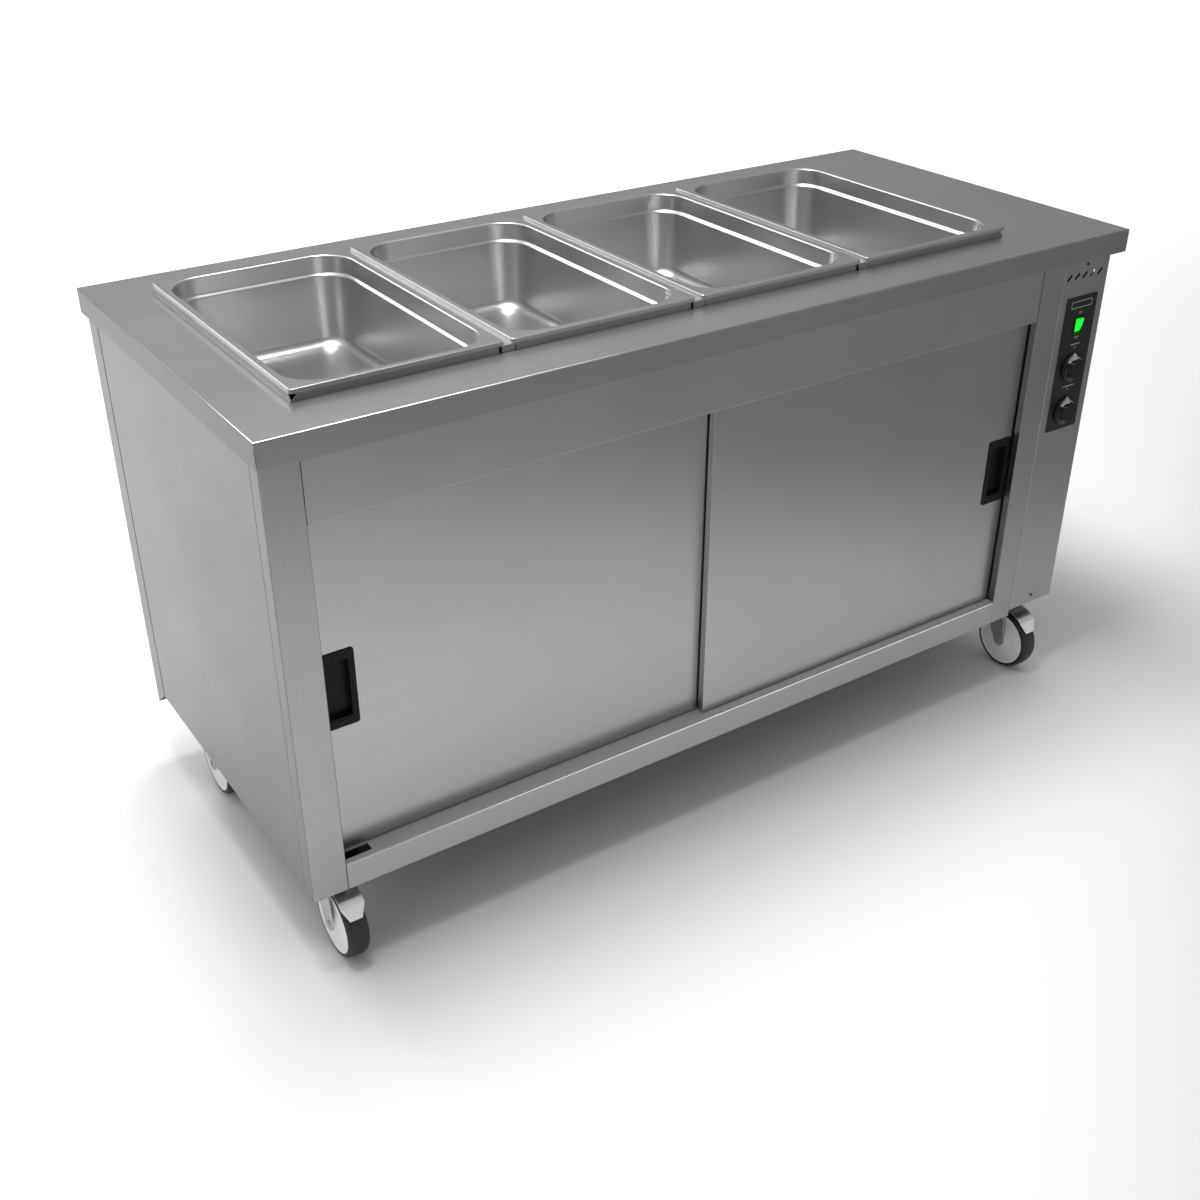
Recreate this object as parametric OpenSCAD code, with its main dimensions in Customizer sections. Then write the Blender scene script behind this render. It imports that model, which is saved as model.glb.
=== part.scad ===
// Hot cupboard: a folded stainless cabinet with sliding doors and a four-pan dry-heat well,
// standing on four swivel castors. Sizes are in millimetres.
// +X runs to the right along the front, +Y to the back and +Z up.
// The origin is on the floor, in the middle of the footprint.

/* [Worktop] */
// Width of the worktop
top_w = 1650; // [1620:5:1800]
// Depth of the worktop
top_d = 720; // [700:5:800]
// Height of the worktop above the floor
top_h = 900; // [890:5:950]
// Height of the worktop's folded edge
edge_h = 40; // [30:1:50]
// Thickness of the stainless sheet
sheet = 1.5; // [1.2:0.1:2]
// Outer radius of a fold
bend_r = 2.2; // [2.1:0.1:3]
// Overhang of the worktop past the body at the right end
right_overhang = 38; // [25:1:60]
// Overhang of the worktop past the body at the back
rear_overhang = 32; // [20:1:50]

/* [Pan well] */
// Distance from the worktop's left edge to the first pan
well_left = 92; // [88:1:100]
// Distance from the worktop's front edge to the pans
well_front = 95.5; // [90:0.5:105]
// Gap between neighbouring pan rims
pan_gap = 13.4; // [10:0.1:16]
// Height of the pans' lips and the divider bars above the worktop
rim_lift = 10.2; // [8:0.1:14]
// Inset of the upstand from the pan rims
upstand_inset = 1.5; // [1:0.1:3]
// Depth of the tank that hangs under the worktop
tank_depth = 186; // [180:1:195]
// Width of a divider bar between two pans
bar_w = 26; // [22:1:30]
// Width of the tab at each end of a divider bar
bar_tab_w = 22; // [18:1:22]

/* [Pans] */
// Width of a pan over its rim
pan_w = 325; // [320:1:328]
// Length of a pan over its rim
pan_l = 530; // [520:1:540]
// Depth of a pan
pan_depth = 150; // [100:5:160]
// Thickness of the pan's metal
pan_t = 1; // [0.8:0.1:1.2]
// Width of the flat rim
pan_rim = 12.5; // [11:0.5:15]
// Depth of the lip turned down at the rim's edge
pan_lip = 6.6; // [5:0.1:9]
// Corner radius of the pan's mouth
pan_corner_r = 55; // [45:1:65]
// Corner radius of the rim's outline
pan_rim_r = 5; // [4:1:12]
// Depth of the stacking shoulder below the rim
pan_shoulder = 28; // [20:1:35]
// Inward step of the stacking shoulder
pan_step = 4.5; // [3:0.5:7]
// Inward lean of the walls from the shoulder to the floor
pan_taper = 7; // [4:1:12]
// Radius between the walls and the floor
pan_floor_r = 18; // [10:1:25]

/* [Front of the body] */
// Width of the left stile
left_stile_w = 60; // [50:1:70]
// Width of the right stile
right_stile_w = 52; // [45:1:60]
// Width of the control compartment
service_w = 117.5; // [112:0.5:125]
// Height of the stiles' and rail's lower edge above the floor
stile_bottom = 150; // [146:1:156]
// Height of the side panels' lower edge above the floor
panel_bottom = 161; // [160:1:168]
// Height of the rear panel's lower edge above the floor
rear_bottom = 127; // [127:1:150]
// Height of the cupboard's floor and ledge above the floor
ledge_z = 197; // [192:1:205]
// Distance of the fascia's lower edge below the worktop
fascia_drop = 134; // [128:1:150]
// Setback of the fascia behind the stiles
fascia_setback = 2; // [1:0.5:4]
// Gap at the ends of the fascia
fascia_gap = 2; // [1:0.5:3]
// Depth of the stile's fold along the side
stile_return = 28.5; // [20:0.5:32]
// Depth of the rear panel's folds along the sides
rear_return = 43; // [35:1:50]
// Gap between the rear panel's folds and the side panels
rear_gap = 2; // [1:0.5:3]
// Length of the crumb slot in the ledge
crumb_l = 48; // [30:1:60]
// Width of the crumb slot in the ledge
crumb_w = 17; // [10:1:18]

/* [Sliding doors] */
// Setback of the front door behind the stiles
door_setback = 17; // [17:0.5:19]
// Thickness of a door
door_t = 13; // [12.5:0.5:14]
// Gap between the two doors
door_gap = 3; // [3:0.5:5]
// Overlap of the two doors where they meet
door_lap = 20; // [10:1:40]
// Depth to which a door tucks in behind its stile
door_tuck = 12; // [8:1:20]
// Clearance between the doors and the ledge
door_clear = 3; // [2:0.5:5]
// Height of the doors above the fascia's lower edge
door_rise = 24; // [20:1:30]
// Diameter of a door roller
roller_d = 20; // [16:1:22]
// Width of a door roller
roller_w = 5; // [4:0.5:5.5]
// Distance of the rollers from the door's edges
roller_inset = 90; // [60:5:150]
// Width of a flush handle
handle_w = 56; // [50:1:64]
// Height of a flush handle
handle_h = 128; // [100:1:140]
// Distance of a handle from its stile
handle_edge = 3; // [2:0.5:8]
// Height of a handle's centre above the floor
handle_z = 482; // [450:1:520]
// Thickness of a handle's flange
handle_flange = 1.5; // [1:0.1:2]
// Depth of a handle's finger pocket behind the door's face
handle_pocket = 11; // [9:0.5:12]

/* [Controls] */
// Width of the control plate
plate_w = 80; // [76:1:90]
// Height of the control plate
plate_h = 257; // [250:1:270]
// Distance of the control plate's centre below the worktop
plate_drop = 232.5; // [210:0.5:260]
// Thickness of the control plate
plate_t = 1.5; // [1:0.1:2]
// Height of the switch above the plate's centre
switch_rise = 73.5; // [70:0.5:78]
// Distance of the well's knob below the plate's centre
well_knob_drop = 6.5; // [2:0.5:12]
// Distance of the cupboard's knob below the plate's centre
cupboard_knob_drop = 91.5; // [86:0.5:96]
// Diameter of a knob's skirt
knob_d = 54; // [48:1:58]
// Diameter of a knob's front
knob_front_d = 36; // [30:1:40]
// Reach of a knob in front of the plate
knob_reach = 15; // [12:1:20]
// Width of the rocker
rocker_w = 19; // [16:0.5:20]
// Height of the rocker
rocker_h = 27; // [22:0.5:28]
// Tilt of the rocker in its ON position
rocker_tilt = 13; // [8:1:15]
// Distance of the vent slots below the worktop
vent_drop = 66; // [60:1:72]
// Distance of the middle vent slot to the left of the controls
vent_shift = 3; // [0:0.5:5]
// Spacing of the vent slots
vent_pitch = 19.8; // [18:0.1:21]
// Length of a vent slot
vent_l = 15; // [10:1:16]
// Width of a vent slot
vent_w = 5; // [4:0.5:6]

/* [Castors] */
// Diameter of a castor wheel
wheel_d = 125; // [118:1:126]
// Width of a castor wheel
wheel_w = 36; // [32:1:38]
// Diameter of the wheel's centre
disc_d = 107; // [100:1:110]
// Trail of the axle in front of the swivel
trail = 40; // [34:1:42]
// Distance of the castors from the body's ends
castor_inset = 60.5; // [58:0.5:64]
// Distance of the front castors' swivels from the worktop's front edge
front_castor_y = 83; // [80:1:90]
// Distance of the rear castors' swivels from the body's back
rear_castor_inset = 110; // [106:1:128]
// Height of a castor over its top plate
castor_h = 158; // [157:1:160]
// Width of a brake pedal
pedal_w = 40; // [34:1:41]
// Bore of the cable gland
gland_bore = 10; // [8:0.5:12]

/* [Hidden] */

$fn = 48;
steel = "silver";
inner_steel = "gainsboro";
zinc = "lightgray";
dark = "dimgray";
black = "black";
white = "white";
// Small overlap that makes a cut pass right through
eps = 0.5;
// Running clearance of a pin in its bore
fit = 0.05;
// Clearance between parts that pass each other
pass = 0.3;
pan_count = 4;
// Gap between the fold of the worktop's edge and the body behind it
skirt_play = 0.1;

// Places on the worktop and body, measured from the worktop's left front corner on the floor
body_left = bend_r + skirt_play;
body_front = bend_r + skirt_play;
body_right = top_w - right_overhang;
body_back = top_d - rear_overhang;
body_top = top_h - sheet;
fascia_bottom = top_h - fascia_drop;
rear_castor_y = body_back - rear_castor_inset;
open_left = left_stile_w;
service_left = body_right - service_w;
open_right = service_left - right_stile_w;
open_mid = (open_left + open_right) / 2;
side_front = body_front + stile_return + sheet / 2;
side_back = body_back - rear_return - rear_gap;
front_reach = max(knob_reach, wheel_d / 2 + trail - front_castor_y);
stile_inner = 14;
panel_fold = 14;

// Pan well
pan_pitch = pan_w + pan_gap;
well_w = pan_count * pan_w + (pan_count - 1) * pan_gap;
lip_z = top_h + rim_lift;
rim_top = lip_z + pan_lip;
upstand_h = rim_lift + pan_lip - pan_t;
hole_left = well_left + upstand_inset + sheet;
hole_right = well_left + well_w - upstand_inset - sheet;
hole_front = well_front + upstand_inset + sheet;
hole_back = well_front + pan_l - upstand_inset - sheet;
tank_flange = 14;
tank_gap = 5;
tank_bottom = body_top - tank_depth;
notch_play = 2;
bar_fold = 24;
bar_play = 1;

// Doors and their track
front_door_y = body_front + door_setback;
rear_door_y = front_door_y + door_t + door_gap;
lane_back = rear_door_y + door_t;
door_bottom = ledge_z + door_clear;
door_top = fascia_bottom + door_rise;
door_w = (open_right - open_left + door_lap) / 2 + door_tuck;
left_door_x = open_left - door_tuck;
right_door_x = open_right + door_tuck - door_w;
hanger_t = 2;
pin_d = 5;
front_hanger_y = front_door_y + (door_t - hanger_t) / 2;
rear_hanger_y = rear_door_y + (door_t - hanger_t) / 2;
front_pin_y = front_hanger_y - roller_w - 2 * pass;
rear_pin_y = rear_hanger_y + hanger_t + roller_w + 2 * pass;
front_roller_y = front_hanger_y - pass - roller_w / 2;
rear_roller_y = rear_hanger_y + hanger_t + pass + roller_w / 2;
roller_z = door_top + 12 + roller_d / 2;
track_lip_z = roller_z - roller_d / 2 - pass;
track_front = body_front + stile_inner;
track_back = lane_back + 3.5;
track_top = roller_z + roller_d / 2 + 7;
handle_side = 10;
handle_end = 16;
handle_wall = 1.4;
pocket_w = handle_w - 2 * handle_side;
pocket_h = handle_h - 2 * handle_end;
handle_screw_d = 4;
handle_screw_z = handle_h / 2 - 8;
left_handle_x = open_left + handle_edge + handle_w / 2;
right_handle_x = open_right - handle_edge - handle_w / 2;

// Heated cupboard inside the body
liner_left = body_left + 28;
liner_right = service_left - 24;
liner_front = lane_back + 7;
liner_back = side_back - 4;
slab_t = 20.5;
ceiling_z = tank_bottom - slab_t - sheet;
shelf_z = (ledge_z + ceiling_z) / 2;
shelf_fold = 25;
shelf_side_play = 3;
shelf_front_space = 12;
shelf_back_space = 4;
shelf_slot_w = 12;
shelf_plain_end = 30;
shelf_plain_edge = 60;
shelf_plain_middle = 40;
bracket_w = 22;
bracket_h = 40;
bracket_l = 80;
bracket_space = 40;

// Control compartment
service_mid = (service_left + body_right) / 2;
plate_z = top_h - plate_drop;
switch_z = plate_z + switch_rise;
well_knob_z = plate_z - well_knob_drop;
cupboard_knob_z = plate_z - cupboard_knob_drop;
vent_z = top_h - vent_drop;
vent_count = 5;
spindle_d = 6;
collar_d = 10;
collar_hole_d = collar_d + 2 * pass;
control_box = 38;
cover_screw_zs = [panel_bottom + 18.5, top_h - edge_h - 7];
plate_face = body_front - plate_t;
rocker_y = plate_face + 3;
trunnion_d = 3;

// Heating elements
element_d = 8.5;
element_lift = 0.2;
well_element_w = 110;
well_element_space = 120;
cupboard_element_w = 240;
cupboard_element_space = 288;
cupboard_element_shift = 20;

// Castors
plate_gauge = 4;
base_z = castor_h;
left_castor_x = castor_inset;
right_castor_x = body_right - castor_inset;
castor_xs = [left_castor_x, right_castor_x];
castor_ys = [front_castor_y, rear_castor_y];
bolt_x = 30;
bolt_y = 40;
bolt_d = 8;
bolt_hole_d = bolt_d + 2 * pass;
gland_d = gland_bore + 6;
gland_y = (front_castor_y + rear_castor_y) / 2;
axle_z = wheel_d / 2;
axle_d = 12;
leg_t = 4;
leg_gap = 3;
leg_w = 26;
kingpin_d = 12;
kingpin_nut_h = 4;
race_d = 60;
race_h = 7;
crown_top = base_z - plate_gauge - race_h - pass;
crown_t = 4;
leg_in = wheel_w / 2 + leg_gap;
leg_out = leg_in + leg_t;
// The brake pedal's hood and the pin on which it turns
hood_t = 2;
hood_r = wheel_d / 2 + 10;
pivot_d = 6;
pivot_a = 75;
pivot_y = (hood_r + 1) * cos(pivot_a) - trail;
pivot_z = axle_z + (hood_r + 1) * sin(pivot_a);

// Frame under the cupboard
channel_w = 90;
back_rail_w = 40;
frame_back = side_back - 2 * sheet;

// Moves a part from the worktop's left front corner to the middle of the footprint
module placed() {
    translate([-top_w / 2, -(top_d - front_reach) / 2, 0]) children();
}

// Profiles drawn in (y, z), (x, z) and (x, y) and drawn out along the third axis
module along_x(x0, x1) {
    translate([x0, 0, 0]) rotate([90, 0, 90]) linear_extrude(x1 - x0) children();
}

module along_y(y0, y1) {
    translate([0, y1, 0]) rotate([90, 0, 0]) linear_extrude(y1 - y0) children();
}

module along_z(z0, z1) {
    translate([0, 0, z0]) linear_extrude(z1 - z0) children();
}

// A flat sheet or block between two opposite corners
module block(low, high) {
    translate(low) cube(high - low);
}

// A round bar or hole between two heights, and the same along Y and X
module rod_z(x, y, z0, z1, d) {
    translate([x, y, z0]) cylinder(h = z1 - z0, d = d);
}

module rod_y(x, z, y0, y1, d) {
    translate([x, y1, z]) rotate([90, 0, 0]) cylinder(h = y1 - y0, d = d);
}

module rod_x(y, z, x0, x1, d) {
    translate([x0, y, z]) rotate([0, 90, 0]) cylinder(h = x1 - x0, d = d);
}

// The points of one rounded fold at corner b, on the way from a to c
function fold_arc(a, b, c, r) =
    let (u = (a - b) / norm(a - b), v = (c - b) / norm(c - b))
    let (half = acos(u * v) / 2, middle = (u + v) / norm(u + v), steps = 3)
    let (centre = b + middle * r / sin(half), turn = 180 - 2 * half)
    let (p = b + u * r / tan(half) - centre, q = b + v * r / tan(half) - centre)
    [for (k = [0:steps]) centre
        + (p * sin(turn * (1 - k / steps)) + q * sin(turn * k / steps)) / sin(turn)];

// A line with each of its inner corners rounded
function folded(path, r) = [for (i = [0:len(path) - 1])
    each (i == 0 || i == len(path) - 1) ? [path[i]]
        : fold_arc(path[i - 1], path[i], path[i + 1], r)];

function side_of(a, b) = [a[1] - b[1], b[0] - a[0]] / norm(b - a);

// The direction in which a corner of the sheet is thickened
function mitre(path, i) =
    i == 0 ? side_of(path[0], path[1])
    : i == len(path) - 1 ? side_of(path[i - 1], path[i])
    : let (m = side_of(path[i - 1], path[i]), n = side_of(path[i], path[i + 1]))
        (m + n) / (1 + m * n);

function thickened(path, t) = concat(path,
    [for (i = [len(path) - 1:-1:0]) path[i] + t * mitre(path, i)]);

// The section of a folded sheet whose outer face follows the path and whose metal is on its left
module sheet_section(path, r = bend_r, t = sheet) {
    polygon(thickened(folded(path, r), t));
}

// A rectangle with rounded corners, as a list of points
function rounded_points(w, d, r, steps = 4) = [for (c = [0:3]) for (k = [0:steps])
    let (a = 90 * (c + k / steps))
    let (sx = (c == 0 || c == 3) ? w - r : r, sy = c < 2 ? d - r : r)
    [sx + r * cos(a), sy + r * sin(a)]];

module rounded_rect(w, d, r) {
    translate([r, 0]) square([w - 2 * r, d]);
    translate([0, r]) square([w, d - 2 * r]);
    for (x = [r, w - r]) for (y = [r, d - r]) translate([x, y]) circle(r);
}

// A slot with round ends
module slot(w, l) {
    square([w, l - w], center = true);
    for (s = [-1, 1]) translate([0, s * (l - w) / 2]) circle(d = w);
}

module centred_rounded(w, d, r) {
    translate([-w / 2, -d / 2]) rounded_rect(w, d, r);
}

// The worktop: a tray with folded edges, and an upstand folded up round the well
module tray_block(w, d, z0, z1, r) {
    intersection() {
        along_x(-eps, w + eps) translate([0, z0 - r]) polygon(rounded_points(d, z1 - z0 + r, r));
        along_y(-eps, d + eps) translate([0, z0 - r]) polygon(rounded_points(w, z1 - z0 + r, r));
        along_z(z0, z1 + eps) polygon(rounded_points(w, d, r));
    }
}

// One side of the upstand: its ends are cut back at 45 degrees, which leaves the corners open
module upstand(length, notches) {
    corner_cut = upstand_h - 1;
    difference() {
        polygon([[1, -eps], [length - 1, -eps], [length - 1, 0], [length - corner_cut, upstand_h],
            [corner_cut, upstand_h], [1, 0]]);
        for (x = notches) translate([x - bar_w / 2 - notch_play, 0])
            square([bar_w + notch_play, upstand_h + eps]);
    }
}

module worktop() {
    edge_z = top_h - edge_h;
    long_side = well_w - 2 * upstand_inset;
    short_side = pan_l - 2 * upstand_inset;
    bars = [for (i = [1:pan_count - 1]) i * pan_pitch - pan_gap / 2 - upstand_inset];
    return_w = 14;
    color(steel) placed() {
        difference() {
            tray_block(top_w, top_d, edge_z, top_h, bend_r);
            translate([sheet, sheet, 0])
                tray_block(top_w - 2 * sheet, top_d - 2 * sheet, edge_z - eps, body_top, bend_r - sheet);
            block([hole_left, hole_front, body_top - eps], [hole_right, hole_back, top_h + eps]);
        }
        for (y = [hole_front - sheet, hole_back])
            translate([hole_left - sheet, 0, top_h]) along_y(y, y + sheet) upstand(long_side, bars);
        for (x = [hole_left - sheet, hole_right])
            translate([0, hole_front - sheet, top_h]) along_x(x, x + sheet) upstand(short_side, []);
        block([sheet / 2, top_d - sheet - return_w, edge_z],
            [top_w - sheet / 2, top_d - sheet / 2, edge_z + sheet]);
        block([top_w - sheet - return_w, sheet / 2, edge_z],
            [top_w - sheet / 2, top_d - sheet, edge_z + sheet]);
    }
}

// The tank under the worktop's hole, with a flange that is welded under the top
module well_tank() {
    x0 = hole_left - tank_gap;
    x1 = hole_right + tank_gap;
    y0 = hole_front - tank_gap;
    y1 = hole_back + tank_gap;
    color(inner_steel) placed() difference() {
        union() {
            block([x0 - sheet, y0 - sheet, tank_bottom], [x1 + sheet, y1 + sheet, body_top]);
            block([x0 - tank_flange, y0 - tank_flange, body_top - sheet],
                [x1 + tank_flange, y1 + tank_flange, body_top]);
        }
        block([x0, y0, tank_bottom + sheet], [x1, y1, body_top + eps]);
    }
}

// The bars that carry the pans' lips between two pans. Each passes through notches in the upstand
// and stands on the worktop with the tabs at its ends.
module bar_tab(x, y) {
    tab_r = 3;
    translate([x - bar_tab_w / 2, 0, top_h]) along_y(y, y + sheet) {
        rounded_rect(bar_tab_w, rim_lift, tab_r);
        translate([0, tab_r]) square([bar_tab_w, rim_lift - tab_r]);
    }
}

module divider_bar(x) {
    y0 = hole_front - 2 * sheet;
    y1 = hole_back + 2 * sheet;
    block([x - bar_w / 2, y0, lip_z - sheet], [x + bar_w / 2, y1, lip_z]);
    for (y = [y0, y1 - sheet]) bar_tab(x, y);
    for (s = [-1, 1]) translate([x + s * (bar_w - sheet) / 2, 0, 0])
        block([-sheet / 2, hole_front + bar_play, lip_z - bar_fold],
            [sheet / 2, hole_back - bar_play, lip_z]);
}

module divider_bars() {
    color(steel) placed() for (i = [1:pan_count - 1])
        divider_bar(well_left + i * pan_pitch - pan_gap / 2);
}

// A side panel with flanges folded in at the front, back and bottom
module side_panel_left() {
    flange = panel_fold;
    along_z(panel_bottom, body_top)
        sheet_section([[body_left + flange, side_back], [body_left, side_back],
            [body_left, side_front], [body_left + flange, side_front]]);
    block([body_left + sheet / 2, side_front + sheet / 2, panel_bottom],
        [left_castor_x - channel_w / 2 - pass, side_back - sheet / 2, panel_bottom + sheet]);
}

module left_side_panel() {
    color(steel) placed() side_panel_left();
}

module right_side_panel() {
    color(steel) placed() translate([body_left + body_right, 0, 0]) mirror([1, 0, 0])
        side_panel_left();
}

// The wall between the heated cupboard and the controls
module service_bulkhead() {
    color(inner_steel) placed() along_z(ledge_z, body_top)
        sheet_section([[service_left + panel_fold, lane_back + 6], [service_left, lane_back + 6],
            [service_left, side_back], [service_left + panel_fold, side_back]], bend_r, -sheet);
}

// The panel on the customer's side: a tray whose side folds are mitred at the bottom
module rear_fold(x) {
    rise = panel_bottom - rear_bottom;
    along_x(x, x + sheet) polygon([[body_back - sheet / 2, rear_bottom],
        [body_back - rear_return, rear_bottom + rise], [body_back - rear_return, body_top],
        [body_back - sheet / 2, body_top]]);
}

module rear_panel() {
    color(steel) placed() {
        block([body_left, body_back - sheet, rear_bottom], [body_right, body_back, body_top]);
        rear_fold(body_left);
        rear_fold(body_right - sheet);
        block([body_left + rear_return, body_back - rear_return, rear_bottom],
            [body_right - rear_return, body_back - sheet / 2, rear_bottom + sheet]);
    }
}

// The stiles on each side of the doors
module left_stile() {
    color(steel) placed() along_z(stile_bottom, body_top)
        sheet_section([[open_left, body_front + stile_inner], [open_left, body_front],
            [body_left, body_front], [body_left, body_front + stile_return]], bend_r, -sheet);
}

module right_stile() {
    color(steel) placed() along_z(stile_bottom, body_top)
        sheet_section([[service_left, body_front + stile_inner], [service_left, body_front],
            [open_right, body_front], [open_right, body_front + stile_inner]], bend_r, -sheet);
}

// The fascia over the doors, folded back at its lower edge
module fascia_panel() {
    y = body_front + fascia_setback;
    color(steel) placed() along_x(open_left + fascia_gap, open_right - fascia_gap)
        sheet_section([[y + 11, fascia_bottom], [y, fascia_bottom], [y, body_top]], bend_r, -sheet);
}

// The rail and ledge under the doors, with a slot through which crumbs are swept out
module bottom_rail() {
    crumb_x = open_left + 0.5;
    crumb_y = front_door_y - 5;
    guide_y = front_door_y + door_t + door_gap / 2;
    guide_t = 1.2;
    guide_l = door_lap - 4;
    color(steel) placed() {
        difference() {
            along_x(open_left, open_right)
                sheet_section([[body_front, stile_bottom], [body_front, ledge_z],
                    [liner_front - sheet, ledge_z], [liner_front - sheet, base_z + sheet]],
                    bend_r, -sheet);
            block([crumb_x, crumb_y, ledge_z - 2 * sheet],
                [crumb_x + crumb_l, crumb_y + crumb_w, ledge_z + eps]);
        }
        block([open_mid - guide_l / 2, guide_y - guide_t / 2, ledge_z - sheet / 2],
            [open_mid + guide_l / 2, guide_y + guide_t / 2, ledge_z + 8]);
    }
}

// The track behind the fascia: the rollers run on its two inward lips
module door_track() {
    lip_gap = 0.6;
    color(inner_steel) placed() along_x(body_left + panel_fold + 1, service_left - 1)
        sheet_section([[front_hanger_y - lip_gap, track_lip_z - sheet],
            [track_front, track_lip_z - sheet], [track_front, track_top], [track_back, track_top],
            [track_back, track_lip_z - sheet],
            [rear_hanger_y + hanger_t + lip_gap, track_lip_z - sheet]], bend_r, -sheet);
}

// The floor, walls and ceiling of the heated cupboard. The walls carry the shelf's brackets.
module cupboard_floor() {
    color(inner_steel) placed()
        block([body_left + panel_fold + 1, liner_front - sheet, ledge_z - sheet],
            [service_left - 1, side_back - sheet, ledge_z]);
}

module inner_liner() {
    color(inner_steel) placed() {
        along_z(ledge_z, ceiling_z)
            sheet_section([[liner_left, liner_front], [liner_left, liner_back],
                [liner_right, liner_back], [liner_right, liner_front]]);
        for (y = [liner_front + bracket_space, liner_back - bracket_space - bracket_l])
            for (side = [0, 1]) translate([side * (liner_left + liner_right), 0, 0])
                mirror([side, 0, 0]) along_y(y, y + bracket_l)
                    sheet_section([[liner_left, shelf_z - bracket_h], [liner_left, shelf_z - sheet],
                        [liner_left + bracket_w, shelf_z - sheet]], bend_r, -sheet);
    }
}

module cupboard_ceiling() {
    color(inner_steel) placed() along_x(body_left + panel_fold + 1, service_left - 1)
        sheet_section([[liner_front, body_top], [liner_front, ceiling_z],
            [side_back - 2 * sheet, ceiling_z]]);
}

// Mineral wool behind the liner and under the tank
module insulation() {
    play = 0.5;
    y0 = liner_front + 4;
    y1 = liner_back - 2;
    color("khaki") placed() {
        block([body_left + sheet + 2 * play, y0, ledge_z], [liner_left - sheet - play, y1, ceiling_z]);
        block([liner_right + sheet + play, y0, ledge_z], [service_left - play, y1, ceiling_z]);
        block([liner_left, liner_back + sheet + play, ledge_z],
            [liner_right, liner_back + rear_return - 6, ceiling_z]);
        block([liner_left, hole_front, ceiling_z + sheet], [liner_right, liner_back, tank_bottom]);
    }
}

// The slotted shelf
module shelf() {
    x0 = liner_left + shelf_side_play;
    x1 = liner_right - shelf_side_play;
    y0 = liner_front + shelf_front_space;
    y1 = liner_back - shelf_back_space;
    slots = 16;
    slot_pitch = (x1 - x0 - 2 * shelf_plain_end) / slots;
    slot_l = (y1 - y0 - shelf_plain_middle) / 2 - shelf_plain_edge;
    color(inner_steel) placed() difference() {
        along_x(x0, x1) sheet_section([[y0, shelf_z - shelf_fold], [y0, shelf_z], [y1, shelf_z],
            [y1, shelf_z - shelf_fold]], bend_r, -sheet);
        for (i = [0:slots - 1]) for (s = [-1, 1])
            translate([x0 + shelf_plain_end + (i + 0.5) * slot_pitch,
                (y0 + y1 + s * (slot_l + shelf_plain_middle)) / 2, shelf_z - 2 * sheet])
                linear_extrude(4 * sheet) slot(shelf_slot_w, slot_l);
    }
}

// The frame under the floor: a channel at each end, over the castors, and a rail across the back
module end_channel(x) {
    half = channel_w / 2;
    along_y(liner_front, frame_back)
        sheet_section([[x - half, ledge_z - sheet], [x - half, base_z], [x + half, base_z],
            [x + half, ledge_z - sheet]]);
    block([x - half, front_door_y, base_z], [x + half, liner_front + 1, base_z + sheet]);
}

module base_frame() {
    y0 = frame_back - back_rail_w;
    color(zinc) placed() difference() {
        union() {
            for (x = castor_xs) end_channel(x);
            along_x(left_castor_x + (channel_w - sheet) / 2, right_castor_x - (channel_w - sheet) / 2)
                sheet_section([[y0, ledge_z - sheet], [y0, base_z], [frame_back, base_z],
                    [frame_back, ledge_z - sheet]]);
        }
        for (x = castor_xs) for (y = castor_ys) for (a = [-1, 1]) for (b = [-1, 1])
            rod_z(x + a * bolt_x, y + b * bolt_y, base_z - eps, base_z + sheet + eps, bolt_hole_d);
        rod_z(right_castor_x, gland_y, base_z - eps, base_z + sheet + eps, gland_d + 2 * pass);
    }
}

// The tray that closes the underside between the channels, below the cupboard's element
module base_tray() {
    x0 = left_castor_x + channel_w / 2;
    x1 = right_castor_x - channel_w / 2;
    rise = 25;
    color(zinc) placed() along_y(liner_front, frame_back - back_rail_w)
        sheet_section([[x0, base_z + rise], [x0, base_z], [x1, base_z], [x1, base_z + rise]]);
}

// The castors' top plates, each with its upper race, kingpin and kingpin nut
module castor_plate() {
    plate_low = base_z - plate_gauge;
    nut_top = crown_top - crown_t - pass;
    difference() {
        union() {
            translate([0, 0, plate_low]) linear_extrude(plate_gauge) centred_rounded(85, 105, 10);
            rod_z(0, 0, plate_low - race_h, base_z - 1, race_d);
            rod_z(0, 0, nut_top - 1, base_z - 1, kingpin_d);
            rod_z(0, 0, nut_top - kingpin_nut_h, nut_top, kingpin_d + 8);
        }
        for (a = [-1, 1]) for (b = [-1, 1])
            rod_z(a * bolt_x, b * bolt_y, plate_low - eps, base_z + eps, bolt_hole_d);
    }
}

module castor_plates() {
    color(zinc) placed() for (x = castor_xs) for (y = castor_ys)
        translate([x, y, 0]) castor_plate();
}

module castor_bolts() {
    head_h = 5;
    head_d = 14.5;
    color(zinc) placed() for (x = castor_xs) for (y = castor_ys) for (a = [-1, 1]) for (b = [-1, 1])
        translate([x + a * bolt_x, y + b * bolt_y, base_z]) {
            translate([0, 0, -plate_gauge - head_h]) cylinder(h = head_h, d = head_d, $fn = 6);
            translate([0, 0, -plate_gauge - 1]) cylinder(h = plate_gauge + sheet + head_h + 3, d = bolt_d);
            translate([0, 0, sheet]) cylinder(h = head_h + 1, d = head_d, $fn = 6);
        }
}

// The cover of the control compartment, with its vent slots
module vent_slots() {
    half = (vent_count - 1) / 2;
    for (i = [-half:half]) translate([service_mid - vent_shift + i * vent_pitch, vent_z]) rotate(-45)
        slot(vent_w, vent_l);
}

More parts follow.
